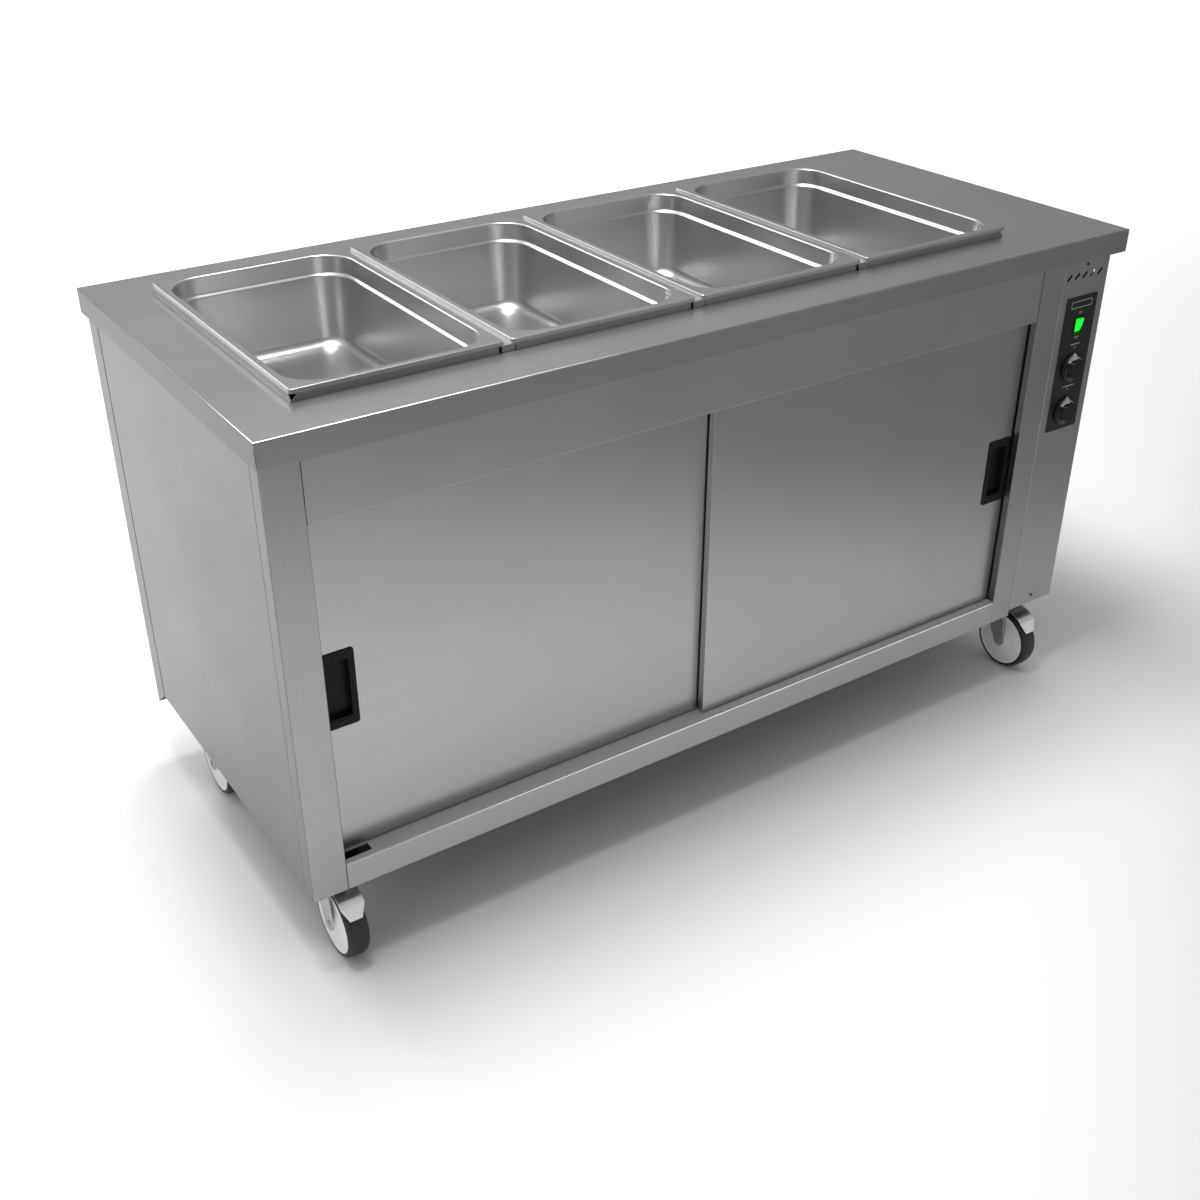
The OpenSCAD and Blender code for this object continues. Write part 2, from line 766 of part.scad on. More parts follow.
module control_cover() {
    flange = 26;
    x0 = service_left + 0.5;
    color(steel) placed() difference() {
        along_z(panel_bottom + 2, body_top)
            sheet_section([[x0, body_front + stile_inner], [x0, body_front],
                [body_right, body_front], [body_right, body_front + flange]]);
        along_y(body_front - eps, body_front + sheet + eps) {
            vent_slots();
            translate([service_mid, switch_z]) square([rocker_w + 3, rocker_h + 3], center = true);
            for (z = [well_knob_z, cupboard_knob_z]) translate([service_mid, z]) circle(d = collar_hole_d);
            for (z = cover_screw_zs) translate([service_mid, z]) circle(d = 4.6);
        }
    }
}

module cover_screws() {
    color(zinc) placed() for (z = cover_screw_zs) {
        rod_y(service_mid, z, body_front, body_front + 12, 4);
        difference() {
            translate([service_mid, body_front, z]) rotate([90, 0, 0])
                cylinder(h = 1.4, d1 = 8, d2 = 6);
            block([service_mid - 4, body_front - 2, z - 0.5], [service_mid + 4, body_front - 0.8, z + 0.5]);
            block([service_mid - 0.5, body_front - 2, z - 4], [service_mid + 0.5, body_front - 0.8, z + 4]);
        }
    }
}

// The black control plate and the controls that pass through it
module control_plate() {
    color(black) placed() along_y(body_front - plate_t, body_front) difference() {
        translate([service_mid, plate_z]) centred_rounded(plate_w, plate_h, 3);
        translate([service_mid, switch_z]) square([rocker_w + 3, rocker_h + 3], center = true);
        for (z = [well_knob_z, cupboard_knob_z]) translate([service_mid, z]) circle(d = collar_hole_d);
    }
}

module switch_body() {
    bezel = 3;
    depth = 24;
    color(black) placed() difference() {
        union() {
            along_y(plate_face - 1.5, plate_face) translate([service_mid, switch_z])
                centred_rounded(rocker_w + 2 * bezel, rocker_h + 2 * bezel, 2);
            along_y(plate_face - 0.5, plate_face + depth) translate([service_mid, switch_z])
                square([rocker_w + 2.6, rocker_h + 2.6], center = true);
        }
        along_y(plate_face - 2, plate_face + 16) translate([service_mid, switch_z])
            square([rocker_w + 0.6, rocker_h + 0.8], center = true);
        rod_x(rocker_y, switch_z, service_mid - rocker_w / 2 - 1.2, service_mid + rocker_w / 2 + 1.2,
            trunnion_d + 2 * fit);
    }
}

// The rocker, shown pressed to ON, so that its upper half stands proud
module power_rocker() {
    half = rocker_h / 2 - 0.6;
    color("lime") placed() translate([service_mid, rocker_y, switch_z]) rotate([rocker_tilt, 0, 0]) {
        along_x(-rocker_w / 2, rocker_w / 2)
            polygon([[-4, -half], [-2.8, -half / 2], [-2.4, 0], [-2.8, half / 2], [-4, half],
                [-2, half], [5, half - 4], [5, 4 - half], [-2, -half]]);
        rod_x(0, 0, -rocker_w / 2 - 1, rocker_w / 2 + 1, trunnion_d);
    }
}

// A knob with its skirt, pointer and spindle
module knob(z) {
    skirt_t = 3.5;
    r = knob_d / 2;
    front_r = knob_front_d / 2;
    front = knob_reach - pass;
    translate([service_mid, plate_face - pass, z]) rotate([90, 0, 0]) difference() {
        union() {
            rotate_extrude() polygon([[0, 0], [r, 0], [r, skirt_t - 1], [r - 1, skirt_t],
                [front_r + 3, skirt_t + 1], [front_r + 1, skirt_t + 3], [front_r, front - 1],
                [front_r - 1, front], [0, front]]);
            intersection() {
                linear_extrude(front - 3) polygon([[0, r + 2], [-r * 0.68, r * 0.55],
                    [-front_r * 0.7, 0], [front_r * 0.7, 0], [r * 0.68, r * 0.55]]);
                cylinder(h = front, r1 = r + 4, r2 = front_r - 2);
            }
        }
        translate([0, 0, -1]) cylinder(h = front - 4, d = spindle_d);
    }
    rod_y(service_mid, z, plate_face - front + 4.5, body_front + sheet + 8, spindle_d);
}

module well_knob() {
    color(black) placed() knob(well_knob_z);
}

module cupboard_knob() {
    color(black) placed() knob(cupboard_knob_z);
}

// The energy regulator and the thermostat behind the plate, each round its spindle
module spindle_control(z, depth, tabs) {
    y0 = body_front + sheet;
    tab_t = 0.8;
    difference() {
        union() {
            block([service_mid - control_box / 2, y0, z - control_box / 2],
                [service_mid + control_box / 2, y0 + depth, z + control_box / 2]);
            rod_y(service_mid, z, plate_face + 0.2, y0 + 1, collar_d);
            for (x = tabs) block([service_mid + x - tab_t / 2, y0 + depth - 1, z - 4],
                [service_mid + x + tab_t / 2, y0 + depth + 9, z + 4]);
        }
        rod_y(service_mid, z, plate_face - 1, y0 + 10, spindle_d + 2 * fit);
    }
}

module energy_regulator() {
    color("ivory") placed() spindle_control(well_knob_z, 26, [-12, -4, 4, 12]);
}

module thermostat() {
    color("tan") placed() {
        spindle_control(cupboard_knob_z, 20, [-10, 10]);
        rod_y(service_mid, cupboard_knob_z, body_front + sheet + 19, body_front + sheet + 30, 22);
    }
}

// Sheathed heating elements: a loop on the tank's floor under each pan, and one under the floor
module element_loop(length, pitch, d) {
    for (s = [-1, 1]) rod_x(s * pitch / 2, 0, -length / 2, length / 2, d);
    translate([length / 2, 0, 0]) rotate([0, 0, -90]) rotate_extrude(angle = 180)
        translate([pitch / 2, 0]) circle(d = d);
}

module well_elements() {
    z = tank_bottom + sheet + element_d / 2 + element_lift;
    color(dark) placed() for (i = [0:pan_count - 1])
        translate([well_left + pan_w / 2 + i * pan_pitch, (hole_front + hole_back) / 2, z])
            rotate(90) element_loop(pan_l - 2 * well_element_space, well_element_w, element_d);
}

module cupboard_element() {
    length = liner_right - liner_left - 2 * cupboard_element_space;
    z = ledge_z - sheet - element_d / 2 - element_lift;
    color(dark) placed()
        translate([(liner_left + liner_right) / 2,
            (liner_front + liner_back) / 2 - cupboard_element_shift, z])
            element_loop(length, cupboard_element_w, element_d);
}

// The mains terminal block on the bulkhead, and the gland in the end channel's web
module terminal_block() {
    ways = 5;
    pitch = 12;
    y0 = gland_y - ways * pitch / 2;
    z0 = ledge_z + 60;
    x0 = service_left + sheet;
    color("ivory") placed() difference() {
        block([x0, y0, z0], [x0 + 20, y0 + ways * pitch, z0 + 22]);
        for (i = [0:ways - 1]) translate([0, y0 + (i + 0.5) * pitch, z0 + 11]) {
            rod_x(0, 6, x0 + 8, x0 + 21, 6);
            rod_x(0, -6, x0 + 8, x0 + 21, 6);
        }
    }
}

module cable_gland() {
    hex_d = gland_d + 8;
    color(black) placed() translate([right_castor_x, gland_y, base_z]) difference() {
        union() {
            rod_z(0, 0, -24, 12, gland_d);
            rod_z(0, 0, -24, -9, gland_d + 4);
            translate([0, 0, -7]) cylinder(h = 7, d = hex_d, $fn = 6);
            translate([0, 0, sheet]) cylinder(h = 6, d = hex_d, $fn = 6);
        }
        rod_z(0, 0, -24 - eps, 12 + eps, gland_bore);
    }
}

// A door: a tray with its edges folded back, a handle cut-out and two hangers with roller pins
module door(x, y, handle_x, hanger_y, pin_to) {
    flange = 14;
    hanger_w = 34;
    hole_w = pocket_w + 2 * handle_wall + 2 * pass;
    hole_h = pocket_h + 2 * handle_wall + 2 * pass;
    difference() {
        block([x, y, door_bottom], [x + door_w, y + door_t, door_top]);
        block([x + sheet, y + sheet, door_bottom + sheet],
            [x + door_w - sheet, y + door_t - sheet, door_top - sheet]);
        block([x + flange, y + sheet, door_bottom + sheet],
            [x + door_w - flange, y + door_t + eps, door_top - flange]);
        block([handle_x - hole_w / 2, y - eps, handle_z - hole_h / 2],
            [handle_x + hole_w / 2, y + 2 * sheet, handle_z + hole_h / 2]);
        for (s = [-1, 1])
            rod_y(handle_x, handle_z + s * handle_screw_z, y - eps, y + 2 * sheet, handle_screw_d + fit);
    }
    for (px = [x + roller_inset, x + door_w - roller_inset]) {
        block([px - hanger_w / 2, hanger_y, door_top - eps],
            [px + hanger_w / 2, hanger_y + hanger_t, roller_z + 6]);
        rod_y(px, roller_z, min(hanger_y + 1, pin_to), max(hanger_y + 1, pin_to), pin_d);
    }
}

module left_door() {
    color(steel) placed() door(left_door_x, rear_door_y, left_handle_x, rear_hanger_y, rear_pin_y);
}

module right_door() {
    color(steel) placed() door(right_door_x, front_door_y, right_handle_x, front_hanger_y, front_pin_y);
}

// A door roller with a shallow crown
module roller(x, y) {
    color(white) placed() translate([x, y, roller_z]) rotate([90, 0, 0])
        rotate_extrude() polygon([[pin_d / 2 + fit, -roller_w / 2], [roller_d / 2 - 1, -roller_w / 2],
            [roller_d / 2, 0.4 - roller_w / 2], [roller_d / 2, roller_w / 2 - 0.4],
            [roller_d / 2 - 1, roller_w / 2], [pin_d / 2 + fit, roller_w / 2]]);
}

module left_roller_outer() {
    roller(left_door_x + roller_inset, rear_roller_y);
}

module left_roller_inner() {
    roller(left_door_x + door_w - roller_inset, rear_roller_y);
}

module right_roller_inner() {
    roller(right_door_x + roller_inset, front_roller_y);
}

module right_roller_outer() {
    roller(right_door_x + door_w - roller_inset, front_roller_y);
}

// A flush pull: a flange with a stepped finger pocket, held by a screw at the top and the bottom
module flush_handle(x, y) {
    bezel_w = 3.5;
    bezel_t = 0.7;
    head_h = 0.6;
    head_d = 7;
    screw_l = 6;
    step_w = 1;
    translate([x, y, handle_z]) {
        difference() {
            union() {
                along_y(-handle_flange, 0) centred_rounded(handle_w, handle_h, 5);
                along_y(-eps, handle_pocket)
                    centred_rounded(pocket_w + 2 * handle_wall, pocket_h + 2 * handle_wall, 4);
            }
            along_y(-handle_flange - eps, handle_pocket / 2) centred_rounded(pocket_w, pocket_h, 3);
            along_y(0, handle_pocket - handle_wall)
                centred_rounded(pocket_w - 2 * step_w, pocket_h - 2 * step_w, 2);
            along_y(-handle_flange - eps, -handle_flange + bezel_t)
                centred_rounded(pocket_w + 2 * bezel_w, pocket_h + 2 * bezel_w, 4);
            for (s = [-1, 1])
                rod_y(0, s * handle_screw_z, -handle_flange - eps, eps, handle_screw_d + fit);
        }
        for (s = [-1, 1]) {
            rod_y(0, s * handle_screw_z, -handle_flange, screw_l, handle_screw_d);
            rod_y(0, s * handle_screw_z, -handle_flange - head_h, -handle_flange, head_d);
        }
    }
}

module left_handle() {
    color(black) placed() flush_handle(left_handle_x, rear_door_y);
}

module right_handle() {
    color(black) placed() flush_handle(right_handle_x, front_door_y);
}

// A pressed pan, as a skin that runs from the inner floor over the rim to the outer floor.
// Each ring is given as its inset from the rim's outline, its height and its corner radius.
function mouth_r(inset) = pan_corner_r + pan_rim - inset;

function pan_rings() =
    let (wall = pan_rim + pan_step, foot = wall + pan_taper, f = pan_floor_r, t = pan_t)
    let (soft = 1 - cos(45), shelf_top = -pan_shoulder, shelf_low = -pan_shoulder - pan_step)
    [for (s = [[foot + f, t - pan_depth], [foot + f * soft, t - pan_depth + f * soft],
            [foot, t - pan_depth + f], [wall, shelf_low], [pan_rim + 1, shelf_top],
            [pan_rim, 1 - pan_shoulder], [pan_rim, -2.5], [pan_rim - 0.7, -0.7], [pan_rim - 2.5, 0]])
            [s[0], s[1], mouth_r(s[0])],
        [1.2, 0, pan_rim_r - 1.2], [0.35, -0.35, pan_rim_r - 0.35], [0, -1.2, pan_rim_r],
        [0, -pan_lip, pan_rim_r], [t, -pan_lip, pan_rim_r - t], [t, -t - 0.4, pan_rim_r - t],
        [t + 0.4, -t, pan_rim_r - t - 0.4],
        for (s = [[pan_rim - t - 1.5, -t], [pan_rim - t, -t - 1.5], [pan_rim - t, -pan_shoulder],
            [wall - t, shelf_low - t], [foot - t, f - pan_depth],
            [foot - t + f * soft, f * soft - pan_depth], [foot + f - t, -pan_depth]])
            [s[0], s[1], mouth_r(s[0])]];

function ring_points(inset, z, r) =
    let (steps = 6, hw = pan_w / 2 - inset - r, hl = pan_l / 2 - inset - r)
    [for (c = [0:3]) for (k = [0:steps]) let (a = 90 * (c + k / steps))
        [((c == 0 || c == 3) ? hw : -hw) + r * cos(a), (c < 2 ? hl : -hl) + r * sin(a), z]];

module pan(i) {
    rings = pan_rings();
    points = [for (s = rings) each ring_points(s[0], s[1], s[2])];
    n = len(points) / len(rings);
    skin = [for (i = [0:len(rings) - 2]) for (j = [0:n - 1])
        let (a = i * n + j, b = i * n + (j + 1) % n) each [[a, b, b + n], [a, b + n, a + n]]];
    inner_floor = [for (j = [n - 1:-1:0]) j];
    outer_floor = [for (j = [0:n - 1]) len(points) - n + j];
    color("lightsteelblue") placed()
        translate([well_left + pan_w / 2 + (i - 1) * pan_pitch, well_front + pan_l / 2, rim_top])
            polyhedron(points, concat(skin, [inner_floor, outer_floor]));
}

module pan_1() {
    pan(1);
}

module pan_2() {
    pan(2);
}

module pan_3() {
    pan(3);
}

module pan_4() {
    pan(4);
}

// A castor's fork, drawn round its swivel axis, with the wheel's axle bolt
module fork(pivot_hole) {
    crown_low = crown_top - crown_t;
    crown_back = 14;
    difference() {
        union() {
            rod_z(0, 0, crown_low, crown_top, race_d + 2);
            block([-leg_out, -trail, crown_low], [leg_out, crown_back, crown_top]);
        }
        rod_z(0, 0, crown_low - eps, crown_top + eps, kingpin_d + 2 * fit);
        block([-leg_in + 1, -trail - eps, crown_low - eps], [leg_in - 1, -16, crown_top + eps]);
    }
    for (x = [-leg_out, leg_in]) difference() {
        along_x(x, x + leg_t) {
            translate([-trail, axle_z]) circle(d = leg_w);
            polygon([[-trail - leg_w / 2, axle_z], [-trail + leg_w / 2 - 1, axle_z - 5],
                [crown_back, crown_top], [-trail, crown_top]]);
        }
        rod_x(-trail, axle_z, x - eps, x + leg_t + eps, axle_d + 2 * fit);
        if (pivot_hole) rod_x(pivot_y, pivot_z, x - eps, x + leg_t + eps, pivot_d + 2 * fit);
    }
}

module axle_bolt() {
    head_gap = 0.1;
    rod_x(-trail, axle_z, -leg_out - 1, leg_out + 1, axle_d);
    rod_x(-trail, axle_z, -leg_out - head_gap - 1.6, -leg_out - head_gap, axle_d + 2);
    translate([leg_out + head_gap, -trail, axle_z]) rotate([0, 90, 0])
        cylinder(h = 5, d = 19, $fn = 6);
}

module castor_fork(x, y, braked) {
    color(zinc) placed() translate([x, y, 0]) {
        fork(braked);
        axle_bolt();
    }
}

// The wheel's centre, with a hub, a dished web and a flat rim
module castor_disc(x, y) {
    hub_r = 20;
    hub_w = wheel_w / 2 + leg_gap - pass;
    bore_r = axle_d / 2 + fit;
    w = wheel_w / 2;
    rim_r = disc_d / 2;
    color(white) placed() translate([x, y - trail, axle_z]) rotate([0, 90, 0])
        rotate_extrude($fn = 64) polygon([[bore_r, -hub_w], [hub_r - 8, -hub_w], [hub_r - 7, -w],
            [hub_r, -w + 1], [hub_r + 3, -w + 3], [rim_r - 7, -w + 3], [rim_r - 4, -w], [rim_r, -w],
            [rim_r, w], [rim_r - 4, w], [rim_r - 7, w - 3], [hub_r + 3, w - 3], [hub_r, w - 1],
            [hub_r - 7, w], [hub_r - 8, hub_w], [bore_r, hub_w]]);
}

module castor_tyre(x, y) {
    w = wheel_w / 2;
    inner = disc_d / 2;
    outer = wheel_d / 2;
    color(black) placed() translate([x, y - trail, axle_z]) rotate([0, 90, 0])
        rotate_extrude($fn = 64) polygon([[inner, -w], [outer - 5, -w], [outer - 1.5, -w + 4],
            [outer - 0.3, -w + 9], [outer, -w + 14], [outer, w - 14], [outer - 0.3, w - 9],
            [outer - 1.5, w - 4], [outer - 5, w], [inner, w]]);
}

// The brake pedal: a curved hood over the wheel that ends in a turned-down tongue. It turns on a
// pin between the fork's legs.
function hood_arc(r, a0, a1, steps) = [for (k = [0:steps])
    let (a = a0 + (a1 - a0) * k / steps) [r * cos(a) - trail, axle_z + r * sin(a)]];

module pedal(x, y) {
    arc_from = 62;
    arc_to = 128;
    steps = 8;
    lip = [hood_r * cos(arc_to) - trail, axle_z + hood_r * sin(arc_to)];
    tip = lip + [-11, -21];
    half = pedal_w / 2;
    tongue_half = 9;
    color(zinc) placed() translate([x, y, 0]) {
        along_x(-half, half) polygon(concat(hood_arc(hood_r, arc_from, arc_to, steps),
            hood_arc(hood_r - hood_t, arc_to, arc_from, steps)));
        intersection() {
            along_x(-half, half) polygon([lip + [1, 1], tip, tip + [hood_t, -1], lip + [3, 1 - hood_t]]);
            along_y(tip[0] - 5, lip[0] + 10) polygon([[-half, lip[1] + 9], [half, lip[1] + 9],
                [half, lip[1] - 2], [tongue_half, tip[1] - 3], [-tongue_half, tip[1] - 3],
                [-half, lip[1] - 2]]);
        }
        rod_x(pivot_y, pivot_z, -leg_out, leg_out, pivot_d);
    }
}

module front_left_fork() {
    castor_fork(left_castor_x, front_castor_y, true);
}

module front_left_disc() {
    castor_disc(left_castor_x, front_castor_y);
}

module front_left_tyre() {
    castor_tyre(left_castor_x, front_castor_y);
}

module front_left_pedal() {
    pedal(left_castor_x, front_castor_y);
}

module front_right_fork() {
    castor_fork(right_castor_x, front_castor_y, true);
}

module front_right_disc() {
    castor_disc(right_castor_x, front_castor_y);
}

module front_right_tyre() {
    castor_tyre(right_castor_x, front_castor_y);
}

module front_right_pedal() {
    pedal(right_castor_x, front_castor_y);
}

module rear_left_fork() {
    castor_fork(left_castor_x, rear_castor_y, false);
}

module rear_left_disc() {
    castor_disc(left_castor_x, rear_castor_y);
}

module rear_left_tyre() {
    castor_tyre(left_castor_x, rear_castor_y);
}

module rear_right_fork() {
    castor_fork(right_castor_x, rear_castor_y, false);
}

module rear_right_disc() {
    castor_disc(right_castor_x, rear_castor_y);
}

module rear_right_tyre() {
    castor_tyre(right_castor_x, rear_castor_y);
}

worktop();
well_tank();
divider_bars();
left_side_panel();
right_side_panel();
service_bulkhead();
rear_panel();
left_stile();
right_stile();
fascia_panel();
bottom_rail();
door_track();
cupboard_floor();
inner_liner();
cupboard_ceiling();
insulation();
shelf();
base_frame();
base_tray();
castor_plates();
castor_bolts();
control_cover();
control_plate();
cover_screws();
switch_body();
energy_regulator();
thermostat();
well_elements();
cupboard_element();
terminal_block();
cable_gland();
left_door();
left_handle();
left_roller_outer();
left_roller_inner();
right_door();
right_handle();
right_roller_inner();
right_roller_outer();
pan_1();
pan_2();
pan_3();
pan_4();
power_rocker();
well_knob();
cupboard_knob();
front_left_fork();
front_left_disc();
front_left_tyre();
front_left_pedal();
front_right_fork();
front_right_disc();
front_right_tyre();
front_right_pedal();
rear_left_fork();
rear_left_disc();
rear_left_tyre();
rear_right_fork();
rear_right_disc();
rear_right_tyre();
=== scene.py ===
import math
import bpy
import bmesh
from mathutils import Matrix, Vector


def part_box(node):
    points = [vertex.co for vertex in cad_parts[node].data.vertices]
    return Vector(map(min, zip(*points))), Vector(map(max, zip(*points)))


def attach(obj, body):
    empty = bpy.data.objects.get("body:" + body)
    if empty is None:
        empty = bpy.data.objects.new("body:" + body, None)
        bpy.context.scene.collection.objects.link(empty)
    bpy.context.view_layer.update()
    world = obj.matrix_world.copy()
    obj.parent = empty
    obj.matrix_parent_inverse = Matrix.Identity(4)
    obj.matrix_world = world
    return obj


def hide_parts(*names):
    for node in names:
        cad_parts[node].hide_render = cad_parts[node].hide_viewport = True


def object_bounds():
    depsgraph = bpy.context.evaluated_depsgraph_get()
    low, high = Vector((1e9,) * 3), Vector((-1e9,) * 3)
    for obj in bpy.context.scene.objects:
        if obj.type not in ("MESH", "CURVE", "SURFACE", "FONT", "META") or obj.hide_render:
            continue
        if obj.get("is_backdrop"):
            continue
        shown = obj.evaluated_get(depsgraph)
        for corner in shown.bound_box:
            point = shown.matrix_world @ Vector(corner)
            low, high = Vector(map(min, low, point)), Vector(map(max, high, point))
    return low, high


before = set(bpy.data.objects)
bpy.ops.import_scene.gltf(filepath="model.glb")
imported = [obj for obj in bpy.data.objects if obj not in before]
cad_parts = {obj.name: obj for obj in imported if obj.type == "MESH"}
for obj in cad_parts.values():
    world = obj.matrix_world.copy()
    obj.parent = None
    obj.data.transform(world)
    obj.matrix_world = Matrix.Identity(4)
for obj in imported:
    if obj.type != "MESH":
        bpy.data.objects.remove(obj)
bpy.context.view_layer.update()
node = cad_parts
collection = bpy.context.scene.collection

# Camera: stands in front of the left end and looks down on the well, as the photograph does. Its
# place and lens were solved from the straight edges of the cabinet.
camera_place = (-1.385193, -1.94723, 1.638065)
camera_tilt = 59.591
camera_turn = -33.954
camera_lens = bpy.data.cameras.new("camera")
camera_lens.sensor_width = 36
camera_lens.lens = 43.606
camera = bpy.data.objects.new("camera", camera_lens)
camera.location = camera_place
camera.rotation_euler = (math.radians(camera_tilt), 0, math.radians(camera_turn))
collection.objects.link(camera)
bpy.context.scene.camera = camera
bpy.context.scene.view_settings.view_transform = "Standard"

# Floor: a pale studio floor with painted shade far out in front of the doors and to their right,
# which the metal fronts reflect as a dim room. It runs into the white background behind the cabinet
# and keeps the cabinet's shadow.
floor_size = 60
floor_white = 0.84
floor_painted_shade = 0.26
floor_rough = 0.8
floor_shine = 0.1
dim_side = (0.595, -0.804, 0)
painted_shade_from = 0.7
painted_shade_to = 1.9
background_from = -0.3
background_to = 3.2
background_glow = 0.8
bright_behind = (-0.5, 0.7)
floor_mesh = bpy.data.meshes.new("studio_floor")
floor_corners = [(-1, -1), (1, -1), (1, 1), (-1, 1)]
floor_points = [(x * floor_size, y * floor_size, 0) for x, y in floor_corners]
floor_mesh.from_pydata(floor_points, [], [(0, 1, 2, 3)])
floor = bpy.data.objects.new("studio_floor", floor_mesh)
collection.objects.link(floor)
floor_paint = bpy.data.materials.new("studio_floor")
floor_paint.use_nodes = True
tree = floor_paint.node_tree
paint = tree.nodes["Principled BSDF"]
paint.inputs["Roughness"].default_value = floor_rough
paint.inputs["Specular IOR Level"].default_value = floor_shine
paint.inputs["Emission Color"].default_value = (1, 1, 1, 1)
place = tree.nodes.new("ShaderNodeTexCoord")
across = tree.nodes.new("ShaderNodeSeparateXYZ")
tree.links.new(place.outputs["Object"], across.inputs["Vector"])
# Painted shade: the floor's colour darkens out in front of the cabinet and to its right.
shade = tree.nodes.new("ShaderNodeMapRange")
shade.interpolation_type = "SMOOTHSTEP"
shade.inputs["From Min"].default_value = painted_shade_from
shade.inputs["From Max"].default_value = painted_shade_to
outward = tree.nodes.new("ShaderNodeVectorMath")
outward.operation = "DOT_PRODUCT"
outward.inputs[1].default_value = dim_side
tree.links.new(place.outputs["Object"], outward.inputs[0])
tree.links.new(outward.outputs["Value"], shade.inputs["Value"])
ahead = tree.nodes.new("ShaderNodeMapRange")
ahead.interpolation_type = "SMOOTHSTEP"
ahead.inputs["From Min"].default_value = bright_behind[0]
ahead.inputs["From Max"].default_value = bright_behind[1]
ahead.inputs["To Min"].default_value = 1.0
ahead.inputs["To Max"].default_value = 0.0
tree.links.new(across.outputs["Y"], ahead.inputs["Value"])
dimmed = tree.nodes.new("ShaderNodeMath")
dimmed.operation = "MULTIPLY"
tree.links.new(shade.outputs["Result"], dimmed.inputs[0])
tree.links.new(ahead.outputs["Result"], dimmed.inputs[1])
tone = tree.nodes.new("ShaderNodeMapRange")
tone.inputs["To Min"].default_value = floor_white
tone.inputs["To Max"].default_value = floor_painted_shade
tree.links.new(dimmed.outputs["Value"], tone.inputs["Value"])
tree.links.new(tone.outputs["Result"], paint.inputs["Base Color"])
glow = tree.nodes.new("ShaderNodeMapRange")
glow.interpolation_type = "SMOOTHSTEP"
glow.inputs["From Min"].default_value = background_from
glow.inputs["From Max"].default_value = background_to
glow.inputs["To Max"].default_value = background_glow
tree.links.new(across.outputs["Y"], glow.inputs["Value"])
rays = tree.nodes.new("ShaderNodeLightPath")
mirrored = tree.nodes.new("ShaderNodeMath")
mirrored.operation = "MAXIMUM"
tree.links.new(rays.outputs["Is Glossy Ray"], mirrored.inputs[0])
tree.links.new(rays.outputs["Is Transmission Ray"], mirrored.inputs[1])
seen = tree.nodes.new("ShaderNodeMath")
seen.operation = "MAXIMUM"
tree.links.new(rays.outputs["Is Camera Ray"], seen.inputs[0])
tree.links.new(mirrored.outputs["Value"], seen.inputs[1])
strength = tree.nodes.new("ShaderNodeMath")
strength.operation = "MULTIPLY"
tree.links.new(seen.outputs["Value"], strength.inputs[0])
tree.links.new(glow.outputs["Result"], strength.inputs[1])
tree.links.new(strength.outputs["Value"], paint.inputs["Emission Strength"])
floor_mesh.materials.append(floor_paint)
floor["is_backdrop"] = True

# Light: a room that is dim at the horizon and pale overhead, and dimmer on the floor's dim side. One
# broad lamp hangs over the cabinet, one stands high behind its left end, and two low ones stand in
# front of it and to its left.
horizon_tone = (0.2, 0.2, 0.203, 1)
middle_tone = (0.5, 0.5, 0.5, 1)
middle_height = 0.25
overhead_tone = (0.8, 0.8, 0.8, 1)
overhead_height = 0.75
room_dim_from = -0.4
room_dim_to = 0.6
room_dim = 0.4
room = bpy.data.worlds.new("studio_room")
bpy.context.scene.world = room
room.use_nodes = True
tree = room.node_tree
place = tree.nodes.new("ShaderNodeTexCoord")
across = tree.nodes.new("ShaderNodeSeparateXYZ")
tree.links.new(place.outputs["Generated"], across.inputs["Vector"])
dome = tree.nodes.new("ShaderNodeValToRGB")
dome.color_ramp.elements[0].position = 0.0
dome.color_ramp.elements[0].color = horizon_tone
dome.color_ramp.elements[1].position = overhead_height
dome.color_ramp.elements[1].color = overhead_tone
middle = dome.color_ramp.elements.new(middle_height)
middle.color = middle_tone
tree.links.new(across.outputs["Z"], dome.inputs["Fac"])
outward = tree.nodes.new("ShaderNodeVectorMath")
outward.operation = "DOT_PRODUCT"
outward.inputs[1].default_value = dim_side
dimming = tree.nodes.new("ShaderNodeMapRange")
dimming.interpolation_type = "SMOOTHSTEP"
dimming.inputs["From Min"].default_value = room_dim_from
dimming.inputs["From Max"].default_value = room_dim_to
dimming.inputs["To Min"].default_value = 1.0
dimming.inputs["To Max"].default_value = room_dim
tree.links.new(place.outputs["Generated"], outward.inputs[0])
tree.links.new(outward.outputs["Value"], dimming.inputs["Value"])
tree.links.new(dome.outputs["Color"], tree.nodes["Background"].inputs["Color"])
tree.links.new(dimming.outputs["Result"], tree.nodes["Background"].inputs["Strength"])


def soft_lamp(name, place, aim, width, depth, power):
    """A soft rectangular lamp that shines from a place at a point."""
    lamp_data = bpy.data.lights.new(name, "AREA")
    lamp_data.shape = "RECTANGLE"
    lamp_data.size = width
    lamp_data.size_y = depth
    lamp_data.energy = power
    lamp = bpy.data.objects.new(name, lamp_data)
    lamp.location = place
    lamp.rotation_euler = (Vector(aim) - Vector(place)).to_track_quat("-Z", "Y").to_euler()
    lamp.visible_camera = False
    collection.objects.link(lamp)


soft_lamp("overhead_lamp", (-0.5, 0.17, 3.5), (-0.3, 0, 0), width=1.8, depth=0.8, power=120)
soft_lamp("back_lamp", (-1.5, 2.8, 2.7), (0, 0, 0.9), width=1.0, depth=1.4, power=28)
soft_lamp("front_lamp", (2.6, -4.4, 1.0), (0, -0.3, 0.5), width=3, depth=1, power=20)
soft_lamp("left_lamp", (-3.4, -1.0, 0.5), (-0.8, -0.3, 0.1), width=1.6, depth=0.6, power=4)
